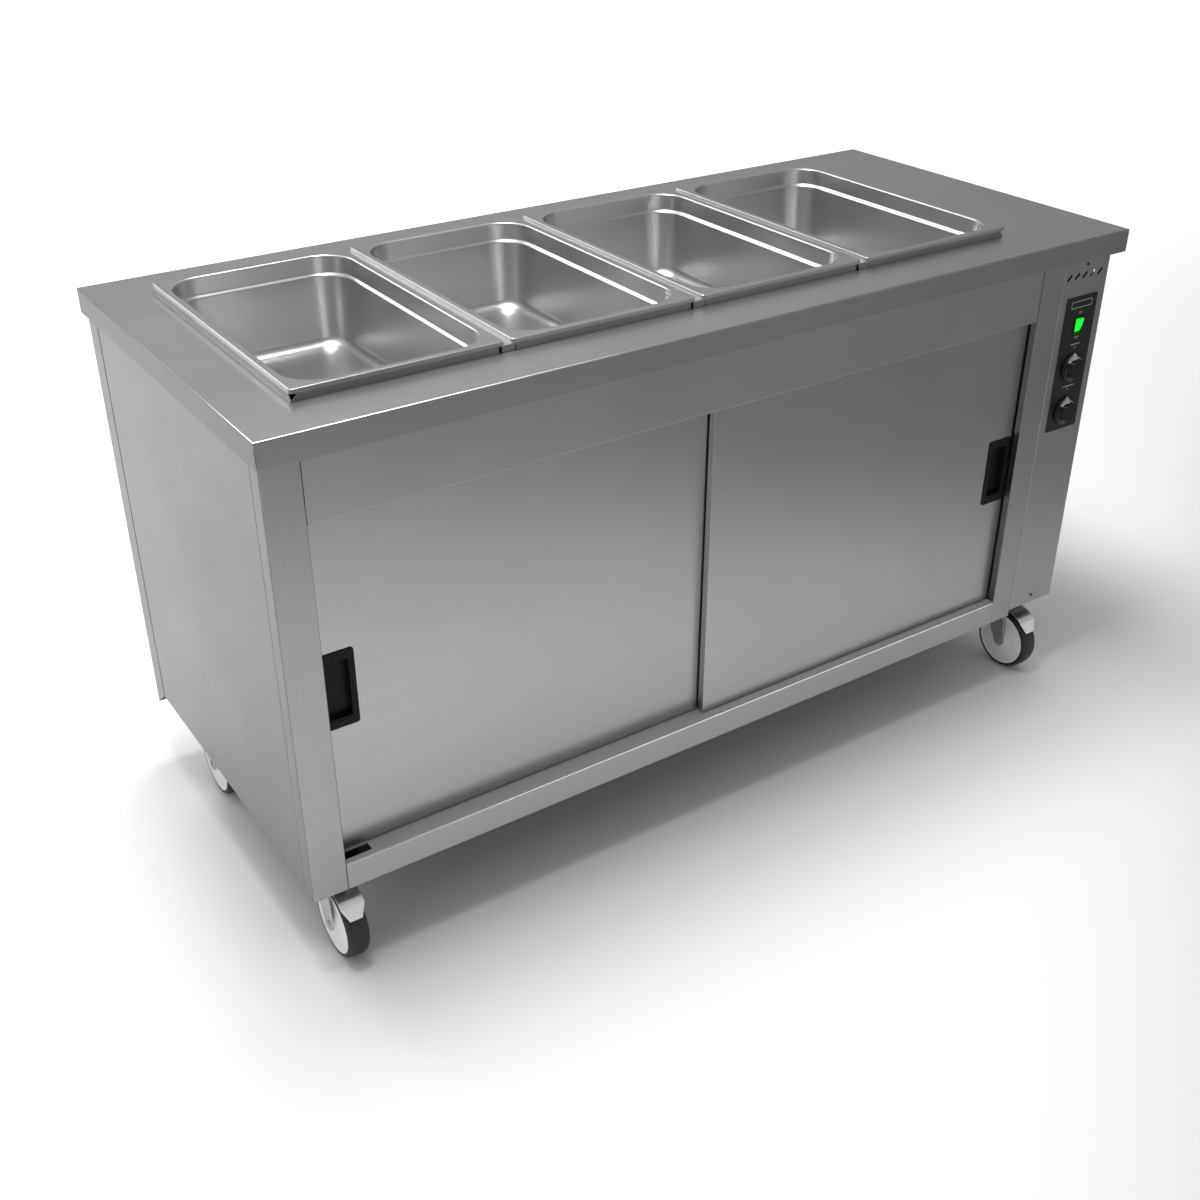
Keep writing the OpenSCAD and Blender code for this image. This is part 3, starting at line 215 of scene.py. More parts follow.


# Worktop: 1.5 mm stainless sheet folded down at its edges and brushed along its length. Its end is
# brushed across and painted much darker, as shade. The upstand round the well is folded up out of
# it. Cut edges are eased, as deburred sheet has them.
def brushed_steel(name, tone, grain, rough, streak=0.04, metal=1.0):
    """Satin stainless steel. grain is the axis along which the sheet is brushed."""
    along, across = 5, 500
    swing = 0.03
    finish = bpy.data.materials.new(name)
    finish.use_nodes = True
    tree = finish.node_tree
    steel = tree.nodes["Principled BSDF"]
    steel.inputs["Metallic"].default_value = metal
    place = tree.nodes.new("ShaderNodeTexCoord")
    drawn = tree.nodes.new("ShaderNodeMapping")
    drawn.inputs["Scale"].default_value = [along if axis == grain else across for axis in "XYZ"]
    lines = tree.nodes.new("ShaderNodeTexNoise")
    lines.inputs["Scale"].default_value = 1.0
    lines.inputs["Detail"].default_value = 3.0
    smears = tree.nodes.new("ShaderNodeTexNoise")
    smears.inputs["Scale"].default_value = 4.0
    smears.inputs["Detail"].default_value = 5.0
    smears.inputs["Roughness"].default_value = 0.6
    colour = tree.nodes.new("ShaderNodeMix")
    colour.data_type = "RGBA"
    colour.inputs["A"].default_value = [c * (1 - streak) for c in tone] + [1]
    colour.inputs["B"].default_value = [c * (1 + streak) for c in tone] + [1]
    gloss = tree.nodes.new("ShaderNodeMapRange")
    gloss.inputs["From Min"].default_value = 0.3
    gloss.inputs["From Max"].default_value = 0.7
    gloss.inputs["To Min"].default_value = rough - swing
    gloss.inputs["To Max"].default_value = rough + swing
    scratch = tree.nodes.new("ShaderNodeBump")
    scratch.inputs["Strength"].default_value = 0.1
    scratch.inputs["Distance"].default_value = 0.0002
    tree.links.new(place.outputs["Object"], drawn.inputs["Vector"])
    tree.links.new(drawn.outputs["Vector"], lines.inputs["Vector"])
    tree.links.new(place.outputs["Object"], smears.inputs["Vector"])
    tree.links.new(lines.outputs["Fac"], colour.inputs["Factor"])
    tree.links.new(colour.outputs["Result"], steel.inputs["Base Color"])
    tree.links.new(smears.outputs["Fac"], gloss.inputs["Value"])
    tree.links.new(gloss.outputs["Result"], steel.inputs["Roughness"])
    tree.links.new(lines.outputs["Fac"], scratch.inputs["Height"])
    tree.links.new(scratch.outputs["Normal"], steel.inputs["Normal"])
    return finish


def fitted(name, shape, finishes, body, stands_for=(), crease=38):
    """Turns a bmesh into a smooth-shaded piece on a body, which stands for the named CAD nodes."""
    mesh = bpy.data.meshes.new(name)
    shape.to_mesh(mesh)
    shape.free()
    for finish in finishes:
        mesh.materials.append(finish)
    mesh.shade_smooth()
    mesh.set_sharp_from_angle(angle=math.radians(crease))
    piece = bpy.data.objects.new(name, mesh)
    collection.objects.link(piece)
    even = piece.modifiers.new("even_shading", "WEIGHTED_NORMAL")
    even.keep_sharp = True
    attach(piece, body)
    if stands_for:
        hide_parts(*stands_for)
    return piece


def sheet_copy(name):
    """A clean copy of a CAD node's shape, with its loose triangles joined into flat faces."""
    same_point = 0.00002
    flat_turn = math.radians(0.5)
    shape = bmesh.new()
    shape.from_mesh(node[name].data)
    bmesh.ops.remove_doubles(shape, verts=shape.verts[:], dist=same_point)
    bmesh.ops.dissolve_limit(shape, angle_limit=flat_turn, verts=shape.verts[:], edges=shape.edges[:])
    return shape


def ease(shape, edge, steps=2, least=48, shortest=0):
    """Rounds each edge that turns by more than least degrees and is longer than shortest."""
    sharp = [e for e in shape.edges if e.is_manifold and e.calc_face_angle() > math.radians(least)
        and e.calc_length() > shortest]
    bmesh.ops.bevel(shape, geom=sharp, offset=edge, segments=steps, profile=0.5, affect="EDGES",
        clamp_overlap=False)


def eased(name, edge, finish, body="cabinet"):
    """A CAD piece with its sharp edges rounded by edge."""
    shape = sheet_copy(name)
    ease(shape, edge)
    return fitted(name + "_piece", shape, [finish], body, [name])


worktop_steel = brushed_steel("worktop_steel", (0.345, 0.345, 0.348), "X", 0.36)
end_fold_shaded_steel = brushed_steel("end_fold_shaded_steel", (0.13, 0.13, 0.131), "Y", 0.36)
worktop_edge = 0.0005
worktop = sheet_copy("worktop")
ease(worktop, worktop_edge, steps=3)
end_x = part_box("worktop")[0].x
# Painted shade: the end's faces take a much darker copy of the steel.
for face in worktop.faces:
    if face.normal.x < -0.9 and face.calc_center_median().x < end_x + 2 * worktop_edge:
        face.material_index = 1
fitted("worktop_piece", worktop, [worktop_steel, end_fold_shaded_steel], "cabinet", ["worktop"])

# Tank: the welded stainless box that is fixed under the worktop round the well. The pans hang in its
# dry heat.
tank_steel = brushed_steel("tank_steel", (0.42, 0.42, 0.425), "X", 0.34)
eased("well_tank", 0.0004, tank_steel)

# Divider bars: folded stainless channels whose tabs hook over the upstand and stand on the
# worktop. The pans' lips rest on them.
bar_steel = brushed_steel("bar_steel", (0.42, 0.42, 0.424), "Y", 0.3)
eased("divider_bars", 0.0004, bar_steel)

# Pans: full-size gastronorm pans, deep drawn from thin stainless sheet. A flat rim ends in a lip
# that is turned down, and a stacking shoulder runs round the wall below it.
pan_steel = brushed_steel("pan_steel", (0.58, 0.58, 0.584), "Z", 0.31, streak=0.02)
rim_shaded_steel = brushed_steel("rim_shaded_steel", (0.36, 0.36, 0.363), "Y", 0.34, streak=0.03)
pan_wall = 0.001
rim_width = 0.0125
rim_corner = 0.005
rim_roll = 0.0014
rim_lip = 0.0066
mouth_corner = 0.0675
mouth_roll = 0.003
shoulder_depth = 0.028
shoulder_height = 0.0065
shoulder_step = 0.0045
wall_lean = 0.007
floor_corner = 0.018
corner_steps = 14
shoulder_steps = 8
rim_top = 0.0002


def arc(centre, radius, start, end, steps):
    """Points of an arc in a section, with its angles in degrees."""
    turns = [math.radians(start + (end - start) * k / steps) for k in range(steps + 1)]
    return [(centre[0] + radius * math.cos(t), centre[1] + radius * math.sin(t)) for t in turns]


def pan_section(depth):
    """The pan's upper face from its floor to the rim, and its lip, as inset and height."""
    wall = rim_width + shoulder_step
    foot = wall + wall_lean
    low = pan_wall - depth
    side = arc((foot + floor_corner, low + floor_corner), floor_corner, 270, 183, 9)
    for k in range(shoulder_steps + 1):
        rise = k / shoulder_steps
        ease_in = rise * rise * (3 - 2 * rise)
        side.append((wall - shoulder_step * ease_in, -shoulder_depth + shoulder_height * (rise - 1)))
    side += arc((rim_width - mouth_roll, -mouth_roll), mouth_roll, 0, 90, 5)
    lip = arc((rim_roll, -rim_roll), rim_roll, 90, 180, 4) + [(0, -rim_lip)]
    return side, lip


def other_face(line, wall):
    """The same line, moved by the thickness of the metal to the side away from the food."""
    other = []
    for k, point in enumerate(line):
        before = Vector(line[max(k - 1, 0)])
        after = Vector(line[min(k + 1, len(line) - 1)])
        along = (after - before).normalized()
        other.append((point[0] - along.y * wall, point[1] + along.x * wall))
    return other


def pan_ring(centre, size, inset, z, corner):
    """One closed ring of a pan, a rectangle with rounded corners."""
    half_w = size.x / 2 - inset - corner
    half_l = size.y / 2 - inset - corner
    ring = []
    for quarter in range(4):
        side_x = half_w if quarter in (0, 3) else -half_w
        side_y = half_l if quarter < 2 else -half_l
        for k in range(corner_steps + 1):
            turn = math.radians(90 * (quarter + k / corner_steps))
            x = centre.x + side_x + corner * math.cos(turn)
            y = centre.y + side_y + corner * math.sin(turn)
            ring.append((x, y, z))
    return ring


for number in range(1, 5):
    low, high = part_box(f"pan_{number}")
    size = high - low
    centre = (low + high) / 2
    side, lip = pan_section(size.z)
    under = other_face(side + lip, pan_wall)
    rings = [(inset, z, mouth_corner - inset) for inset, z in side]
    rings += [(inset, z, rim_corner - inset) for inset, z in lip]
    rings += [(inset, z, rim_corner - inset) for inset, z in reversed(under[len(side):])]
    rings += [(inset, z, mouth_corner - inset) for inset, z in reversed(under[:len(side)])]
    shape = bmesh.new()
    loops = []
    for inset, z, corner in rings:
        loops.append([shape.verts.new(p) for p in pan_ring(centre, size, inset, high.z + z, corner)])
    for inner, outer in zip(loops, loops[1:]):
        for k in range(len(inner)):
            j = (k + 1) % len(inner)
            shape.faces.new((inner[k], inner[j], outer[j], outer[k]))
    shape.faces.new(loops[0])
    shape.faces.new(loops[-1])
    bmesh.ops.recalc_face_normals(shape, faces=shape.faces[:])
    # Painted shade: the rim's flat top takes a darker copy of the pan's steel.
    for face in shape.faces:
        if face.calc_center_median().z > high.z - rim_top:
            face.material_index = 1
    fitted(f"gastronorm_pan_{number}", shape, [pan_steel, rim_shaded_steel], f"pan_{number}",
        [f"pan_{number}"], crease=30)

# Side and rear panels: folded stainless sheet, brushed upwards. The rear panel is a tray on the
# customers' side, and its side folds are cut back at the bottom.
# Their steel has painted shade: a much darker copy of the stainless on the front.
side_shaded_steel = brushed_steel("side_shaded_steel", (0.2, 0.2, 0.202), "Z", 0.38)
for panel in ("left_side_panel", "right_side_panel", "rear_panel"):
    eased(panel, 0.0004, side_shaded_steel)

# Stiles: folded posts of brushed stainless sheet on each side of the doors. A fine seam is left where
# the panel beside each one begins.
stile_steel = brushed_steel("stile_steel", (0.37, 0.37, 0.373), "Z", 0.36)
for stile in ("left_stile", "right_stile"):
    shape = sheet_copy(stile)
    ease(shape, 0.0004)
    # Painted shade: the faces that look sideways take the side panels' darker steel.
    for face in shape.faces:
        if abs(face.normal.x) > 0.5:
            face.material_index = 1
    fitted(stile + "_piece", shape, [stile_steel, side_shaded_steel], "cabinet", [stile])

# Fascia and rail: folded sheet over and under the doors, brushed along the cabinet. The ledge has
# painted light, a paler and less metallic copy of the steel, and its front bend a painted highlight.
# A slot at its left end lets crumbs be swept out, and the face inside the rail that shows through it
# is painted near black as shade.
front_steel = brushed_steel("front_steel", (0.4, 0.4, 0.405), "X", 0.36)
fascia_reach = 0.0012
fascia_end = 0.0005
fascia = sheet_copy("fascia_panel")
fascia_low, fascia_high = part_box("fascia_panel")
for corner in fascia.verts:
    if corner.co.x < fascia_low.x + fascia_end:
        corner.co.x -= fascia_reach
    elif corner.co.x > fascia_high.x - fascia_end:
        corner.co.x += fascia_reach
ease(fascia, 0.0004)
fitted("fascia_panel_piece", fascia, [front_steel], "cabinet", ["fascia_panel"])
ledge_painted_light = brushed_steel("ledge_painted_light", (0.56, 0.56, 0.563), "X", 0.45, metal=0.25)
bend_painted_highlight = brushed_steel("bend_painted_highlight", (0.92, 0.92, 0.925), "X", 0.25)
rail_inside_shade = brushed_steel("rail_inside_shade", (0.02, 0.02, 0.0203), "X", 0.6)
ledge_z = 0.197
inside_y = -0.298
close_by = 0.0004
rail = sheet_copy("bottom_rail")
# Painted light on the ledge's top, a painted highlight on its front bend, painted shade inside.
for face in rail.faces:
    middle = face.calc_center_median()
    if face.normal.z > 0.99 and abs(middle.z - ledge_z) < close_by:
        face.material_index = 1
    elif face.normal.y < -0.2 and face.normal.z > 0.2:
        face.material_index = 2
    elif face.normal.y < -0.99 and abs(middle.y - inside_y) < close_by:
        face.material_index = 3
fitted("bottom_rail_piece", rail, [front_steel, ledge_painted_light, bend_painted_highlight, rail_inside_shade],
    "cabinet", ["bottom_rail"])

# Cupboard: floor, liner with its shelf brackets, ceiling, slotted shelf, door track and the wall to
# the controls, all plain stainless sheet with a mill finish.
mill_steel = brushed_steel("mill_steel", (0.48, 0.48, 0.485), "X", 0.3)
for part in ("door_track", "service_bulkhead", "cupboard_floor", "inner_liner",
        "cupboard_ceiling", "shelf"):
    eased(part, 0.0003, mill_steel)

# Doors: hollow trays folded from brushed stainless sheet. Each hangs from two rollers on the track
# and is kept in line by the rail's guide.
door_steel = brushed_steel("door_steel", (0.41, 0.41, 0.414), "X", 0.3)
eased("left_door", 0.0005, door_steel, "left_door")
eased("right_door", 0.0005, door_steel, "right_door")


# Door rollers: moulded in white nylon, with a shallow crown. Each spins on a pin in its hanger and
# runs on the track.
def moulded(name, tone, rough, grain_size, depth, spread=0.15, shine=0.5):
    """Moulded plastic or rubber with an even grain."""
    swing = 0.04
    finish = bpy.data.materials.new(name)
    finish.use_nodes = True
    tree = finish.node_tree
    plastic = tree.nodes["Principled BSDF"]
    plastic.inputs["Specular IOR Level"].default_value = shine
    place = tree.nodes.new("ShaderNodeTexCoord")
    grain = tree.nodes.new("ShaderNodeTexNoise")
    grain.inputs["Scale"].default_value = 1 / grain_size
    grain.inputs["Detail"].default_value = 2.0
    colour = tree.nodes.new("ShaderNodeMix")
    colour.data_type = "RGBA"
    colour.inputs["A"].default_value = [c * (1 - spread) for c in tone] + [1]
    colour.inputs["B"].default_value = [min(c * (1 + spread), 1) for c in tone] + [1]
    gloss = tree.nodes.new("ShaderNodeMapRange")
    gloss.inputs["To Min"].default_value = rough - swing
    gloss.inputs["To Max"].default_value = rough + swing
    dimples = tree.nodes.new("ShaderNodeBump")
    dimples.inputs["Strength"].default_value = 0.2
    dimples.inputs["Distance"].default_value = depth
    tree.links.new(place.outputs["Object"], grain.inputs["Vector"])
    tree.links.new(grain.outputs["Fac"], colour.inputs["Factor"])
    tree.links.new(colour.outputs["Result"], plastic.inputs["Base Color"])
    tree.links.new(grain.outputs["Fac"], gloss.inputs["Value"])
    tree.links.new(gloss.outputs["Result"], plastic.inputs["Roughness"])
    tree.links.new(grain.outputs["Fac"], dimples.inputs["Height"])
    tree.links.new(dimples.outputs["Normal"], plastic.inputs["Normal"])
    return finish


roller_nylon = moulded("roller_nylon", (0.78, 0.78, 0.76), 0.45, 0.001, 0.00003, spread=0.04)
for roller in ("left_roller_outer", "left_roller_inner", "right_roller_inner", "right_roller_outer"):
    eased(roller, 0.0002, roller_nylon, roller)

# Flush pulls: black moulded plastic with a stepped finger pocket, held by a black countersunk
# screw at the top and the bottom.
pull_plastic = moulded("pull_plastic", (0.006, 0.006, 0.0062), 0.45, 0.0007, 0.0001, shine=0.16)
for pull in ("left", "right"):
    eased(pull + "_handle", 0.0004, pull_plastic, pull + "_door")


# Pull and cover screws: turned steel, with a low conical head that has a cross pressed into it, over
# a short shank. One node tree makes both kinds.
def fixing_tree(name, sizes):
    """An empty node tree that takes places and the named sizes, and the nodes at its two ends."""
    tree = bpy.data.node_groups.new(name, "GeometryNodeTree")
    tree.interface.new_socket("Places", in_out="INPUT", socket_type="NodeSocketGeometry")
    for size in sizes:
        tree.interface.new_socket(size, in_out="INPUT", socket_type="NodeSocketFloat")
    tree.interface.new_socket("Turn", in_out="INPUT", socket_type="NodeSocketRotation")
    tree.interface.new_socket("Finish", in_out="INPUT", socket_type="NodeSocketMaterial")
    tree.interface.new_socket("Fixings", in_out="OUTPUT", socket_type="NodeSocketGeometry")
    return tree, tree.nodes.new("NodeGroupInput"), tree.nodes.new("NodeGroupOutput")


def times(tree, source, name, factor):
    """A named size multiplied by a number."""
    product = tree.nodes.new("ShaderNodeMath")
    product.operation = "MULTIPLY"
    product.inputs[1].default_value = factor
    tree.links.new(source.outputs[name], product.inputs[0])
    return product


def moved(tree, shape, along):
    """A shape moved along Z by the value of a node."""
    shift = tree.nodes.new("ShaderNodeCombineXYZ")
    tree.links.new(along.outputs[0], shift.inputs["Z"])
    mover = tree.nodes.new("GeometryNodeTransform")
    tree.links.new(shape.outputs[0], mover.inputs["Geometry"])
    tree.links.new(shift.outputs[0], mover.inputs["Translation"])
    return mover


def stand_on_places(tree, given, out, shape):
    """Ends a tree: one copy of the shape on each place, made plain and given its finish."""
    copies = tree.nodes.new("GeometryNodeInstanceOnPoints")
    tree.links.new(given.outputs["Places"], copies.inputs["Points"])
    tree.links.new(given.outputs["Turn"], copies.inputs["Rotation"])
    tree.links.new(shape.outputs[0], copies.inputs["Instance"])
    plain = tree.nodes.new("GeometryNodeRealizeInstances")
    tree.links.new(copies.outputs[0], plain.inputs["Geometry"])
    coat = tree.nodes.new("GeometryNodeSetMaterial")
    tree.links.new(plain.outputs[0], coat.inputs["Geometry"])
    tree.links.new(given.outputs["Finish"], coat.inputs["Material"])
    tree.links.new(coat.outputs[0], out.inputs["Fixings"])


def set_fixings(name, tree, places, values, body, stands_for=()):
    """Runs a tree on some places, and makes the result one plain piece on a body."""
    marks = bpy.data.meshes.new(name)
    marks.from_pydata([tuple(place) for place in places], [], [])
    carrier = bpy.data.objects.new(name + "_places", marks)
    collection.objects.link(carrier)
    steps = carrier.modifiers.new("fixings", "NODES")
    steps.node_group = tree
    for socket in tree.interface.items_tree:
        if socket.name in values:
            steps[socket.identifier] = values[socket.name]
    ready = carrier.evaluated_get(bpy.context.evaluated_depsgraph_get())
    mesh = bpy.data.meshes.new_from_object(ready)
    carrier.modifiers.clear()
    bpy.data.objects.remove(carrier)
    shape = bmesh.new()
    shape.from_mesh(mesh)
    return fitted(name, shape, [values["Finish"]], body, stands_for)


# Shares of the head's width.
head_radius = 0.5
crown_radius = 0.38
arm_length = 0.62
shank_radius = 0.26
screw_sizes = ["Head Width", "Head Height", "Cross Width", "Shank Length"]
screw_tree, given, out = fixing_tree("cross_screw", screw_sizes)
head = screw_tree.nodes.new("GeometryNodeMeshCone")
head.inputs["Vertices"].default_value = 32
bottom = times(screw_tree, given, "Head Width", head_radius)
crown = times(screw_tree, given, "Head Width", crown_radius)
screw_tree.links.new(bottom.outputs[0], head.inputs["Radius Bottom"])
screw_tree.links.new(crown.outputs[0], head.inputs["Radius Top"])
screw_tree.links.new(given.outputs["Head Height"], head.inputs["Depth"])
arms = screw_tree.nodes.new("GeometryNodeJoinGeometry")
for long_axis, short_axis in ("XY", "YX"):
    arm = screw_tree.nodes.new("GeometryNodeMeshCube")
    reach = screw_tree.nodes.new("ShaderNodeCombineXYZ")
    long_side = times(screw_tree, given, "Head Width", arm_length)
    screw_tree.links.new(long_side.outputs[0], reach.inputs[long_axis])
    screw_tree.links.new(given.outputs["Cross Width"], reach.inputs[short_axis])
    screw_tree.links.new(given.outputs["Head Height"], reach.inputs["Z"])
    screw_tree.links.new(reach.outputs[0], arm.inputs["Size"])
    lifted = moved(screw_tree, arm, times(screw_tree, given, "Head Height", 1.0))
    screw_tree.links.new(lifted.outputs[0], arms.inputs[0])
cut = screw_tree.nodes.new("GeometryNodeMeshBoolean")
cut.operation = "DIFFERENCE"
screw_tree.links.new(head.outputs["Mesh"], cut.inputs["Mesh 1"])
screw_tree.links.new(arms.outputs[0], cut.inputs["Mesh 2"])
shank = screw_tree.nodes.new("GeometryNodeMeshCylinder")
shank.inputs["Vertices"].default_value = 16
thin = times(screw_tree, given, "Head Width", shank_radius)
screw_tree.links.new(thin.outputs[0], shank.inputs["Radius"])
screw_tree.links.new(given.outputs["Shank Length"], shank.inputs["Depth"])
sunk = moved(screw_tree, shank, times(screw_tree, given, "Shank Length", -0.5))
whole = screw_tree.nodes.new("GeometryNodeJoinGeometry")
screw_tree.links.new(cut.outputs["Mesh"], whole.inputs[0])
screw_tree.links.new(sunk.outputs[0], whole.inputs[0])
stand_on_places(screw_tree, given, out, whole)

facing_front = (math.radians(90), 0, 0)
screw_black = moulded("screw_black", (0.01, 0.01, 0.01), 0.3, 0.0005, 0.00002)
pull_screw = {"Head Width": 0.0072, "Head Height": 0.0009, "Cross Width": 0.001, "Shank Length": 0.004,
    "Turn": facing_front, "Finish": screw_black}
pull_screw_rise = 0.056
pull_screw_sink = 0.0006
for pull in ("left", "right"):
    low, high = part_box(pull + "_handle")
    middle = (low + high) / 2
    places = [(middle.x, low.y + pull_screw_sink, middle.z + s * pull_screw_rise) for s in (-1, 1)]
    set_fixings(pull + "_pull_screws", screw_tree, places, pull_screw, pull + "_door")

# Control cover: folded stainless sheet, brushed upwards, with five slanted vent slots. A screw at its
# top and one at its bottom hold it.
cover_steel = brushed_steel("cover_steel", (0.38, 0.38, 0.385), "Z", 0.36)
eased("control_cover", 0.0004, cover_steel)
screw_zinc = brushed_steel("screw_zinc", (0.09, 0.09, 0.09), "X", 0.3)
cover_screw = {"Head Width": 0.008, "Head Height": 0.0014, "Cross Width": 0.001, "Shank Length": 0.012,
    "Turn": facing_front, "Finish": screw_zinc}
cover_screw_stand = 0.0007
half_head = cover_screw["Head Width"] / 2
low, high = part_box("cover_screws")
screw_x = (low.x + high.x) / 2
screw_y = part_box("control_cover")[0].y - cover_screw_stand
places = [(screw_x, screw_y, z) for z in (low.z + half_head, high.z - half_head)]
set_fixings("cover_screws_piece", screw_tree, places, cover_screw, "cabinet",
    ["cover_screws"])

# Control plate: black anodised aluminium, screen printed in pale grey with a blank frame, the
# switch's ON and OFF, and a line and a tick over each knob.
plate_black = moulded("plate_black", (0.0085, 0.0085, 0.009), 0.34, 0.001, 0.00002, shine=0.4)
plate = sheet_copy("control_plate")
ease(plate, 0.0006, steps=3)
fitted("control_plate_piece", plate, [plate_black], "cabinet", ["control_plate"])
print_grey = moulded("print_grey", (0.6, 0.6, 0.6), 0.5, 0.0006, 0.00001)
plate_low, plate_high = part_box("control_plate")
plate_x = (plate_low.x + plate_high.x) / 2
ink = 0.00006
badge_w = 0.054
badge_h = 0.0125
badge_z = 0.781
badge_corner = 0.002
stroke = 0.0009
scale_lines = ((0.7055, 0.024), (0.6245, 0.031))
scale_line_h = 0.0012
tick_drop = 0.0062
tick_w = 0.0018
tick_h = 0.0036
words = (("ON", 0.7645), ("OFF", 0.7185))
word_size = 0.0062
prints = bmesh.new()


def printed_bar(shape, x, z, width, height):
    """A printed stroke on the control plate, round a point."""
    place = Matrix.Translation((x, plate_low.y - ink / 2, z)) @ Matrix.Diagonal((width, ink, height, 1))
    bmesh.ops.create_cube(shape, size=1, matrix=place)


def printed_frame(shape, x, z, width, height, corner, line):
    """A printed frame with rounded corners, as one closed band."""
    corner_steps = 5
    loops = []
    for inset in (0, line):
        for y in (plate_low.y - ink, plate_low.y):
            loop = []
            for quarter in range(4):
                side_x = (width / 2 - corner) * (1 if quarter in (0, 3) else -1)
                side_z = (height / 2 - corner) * (1 if quarter < 2 else -1)
                for k in range(corner_steps + 1):
                    turn = math.radians(90 * (quarter + k / corner_steps))
                    round_x = (corner - inset) * math.cos(turn)
                    round_z = (corner - inset) * math.sin(turn)
                    loop.append(shape.verts.new((x + side_x + round_x, y, z + side_z + round_z)))
            loops.append(loop)
    outer_front, outer_back, inner_front, inner_back = loops
    for first, second in ((outer_front, inner_front), (inner_front, inner_back),
            (inner_back, outer_back), (outer_back, outer_front)):
        for k in range(len(first)):
            j = (k + 1) % len(first)
            shape.faces.new((first[k], first[j], second[j], second[k]))


printed_frame(prints, plate_x, badge_z, badge_w, badge_h, badge_corner, stroke)
bmesh.ops.recalc_face_normals(prints, faces=prints.faces[:])
for line_z, line_w in scale_lines:
    printed_bar(prints, plate_x, line_z, line_w, scale_line_h)
    printed_bar(prints, plate_x, line_z - tick_drop, tick_w, tick_h)
for word, word_z in words:
    letters = bpy.data.curves.new(word, "FONT")
    letters.body = word
    letters.align_x = "CENTER"
    letters.align_y = "CENTER"
    letters.size = word_size
    written = bpy.data.objects.new(word, letters)
    flat = bpy.data.meshes.new_from_object(written)
    upright = Matrix.Rotation(math.radians(90), 4, "X")
    flat.transform(Matrix.Translation((plate_x, plate_low.y - ink, word_z)) @ upright)
    prints.from_mesh(flat)
    bpy.data.objects.remove(written)
fitted("plate_prints", prints, [print_grey], "cabinet")

# Switch: a black moulded bezel, clipped into the plate, round a rocker of clear green plastic. The
# rocker is lit from inside and tilts on a pin across it.
bezel_black = moulded("bezel_black", (0.01, 0.01, 0.01), 0.3, 0.001, 0.00003)
eased("switch_body", 0.0003, bezel_black)
lens_green = moulded("lens_green", (0.0, 0.75, 0.03), 0.22, 0.004, 0.00002)
lens = lens_green.node_tree.nodes["Principled BSDF"]
lens.inputs["Emission Color"].default_value = (0.0, 1.0, 0.02, 1)
lens.inputs["Emission Strength"].default_value = 0.85
rocker_place = Vector((plate_x, -0.34645, 0.741))
rocker_half_w = 0.0095
rocker_half_h = 0.0129
rocker_tilt = 13
rocker_front = -0.0041
rocker_crown = 0.0006
crown_steps = 6
rocker_waist = -0.001
rocker_back = 0.005
rocker_back_half = 0.0089
rocker_edge = 0.0009
pin_radius = 0.00145
pin_stand = 0.001
section = [(rocker_front + rocker_crown * (k / crown_steps) ** 2, rocker_half_h * k / crown_steps)
    for k in range(-crown_steps, crown_steps + 1)]
section += [(rocker_waist, rocker_half_h), (rocker_back, rocker_back_half)]
section += [(rocker_back, -rocker_back_half), (rocker_waist, -rocker_half_h)]
rocker = bmesh.new()
ends = [[rocker.verts.new((s * rocker_half_w, y, z)) for y, z in section] for s in (-1, 1)]
for k in range(len(section)):
    j = (k + 1) % len(section)
    rocker.faces.new((ends[0][k], ends[0][j], ends[1][j], ends[1][k]))
for end in ends:
    rocker.faces.new(end)
bmesh.ops.recalc_face_normals(rocker, faces=rocker.faces[:])
ease(rocker, rocker_edge, steps=3, least=40)
pin = Matrix.Rotation(math.radians(90), 4, "Y")
bmesh.ops.create_cone(rocker, cap_ends=True, segments=24, radius1=pin_radius, radius2=pin_radius,
    depth=2 * (rocker_half_w + pin_stand), matrix=pin)
rocker.transform(Matrix.Translation(rocker_place) @ Matrix.Rotation(math.radians(rocker_tilt), 4, "X"))
fitted("power_rocker_piece", rocker, [lens_green], "power_rocker", ["power_rocker"])

# Knobs: glossy black moulded plastic on a steel spindle. Each has a pointer like a small roof, whose
# two slopes carry pale grey painted reflections.
knob_black = moulded("knob_black", (0.0045, 0.0045, 0.0045), 0.2, 0.002, 0.00001, shine=0.4)
knob_painted_reflection = moulded("knob_painted_reflection", (0.4, 0.4, 0.4), 0.4, 0.0006, 0.00001)
knob_gap = 0.0003
knob_section = [(0.027, 0), (0.027, 0.0024), (0.0268, 0.0031), (0.0261, 0.0034), (0.0215, 0.0043),
    (0.02, 0.0053), (0.0192, 0.0068), (0.018, 0.0137), (0.0177, 0.0144), (0.0169, 0.0147)]
pointer_low = [(0, 0.029), (0.0184, 0.0148), (0.0132, -0.002), (-0.0132, -0.002), (-0.0184, 0.0148)]
pointer_high = [(0, 0.0205), (0.0128, 0.0107), (0.0115, -0.002), (-0.0115, -0.002), (-0.0128, 0.0107)]
pointer_from = 0.0025
pointer_to = 0.0117
reflection_border = 0.0011
knob_steps = 72
spindle_radius = 0.003
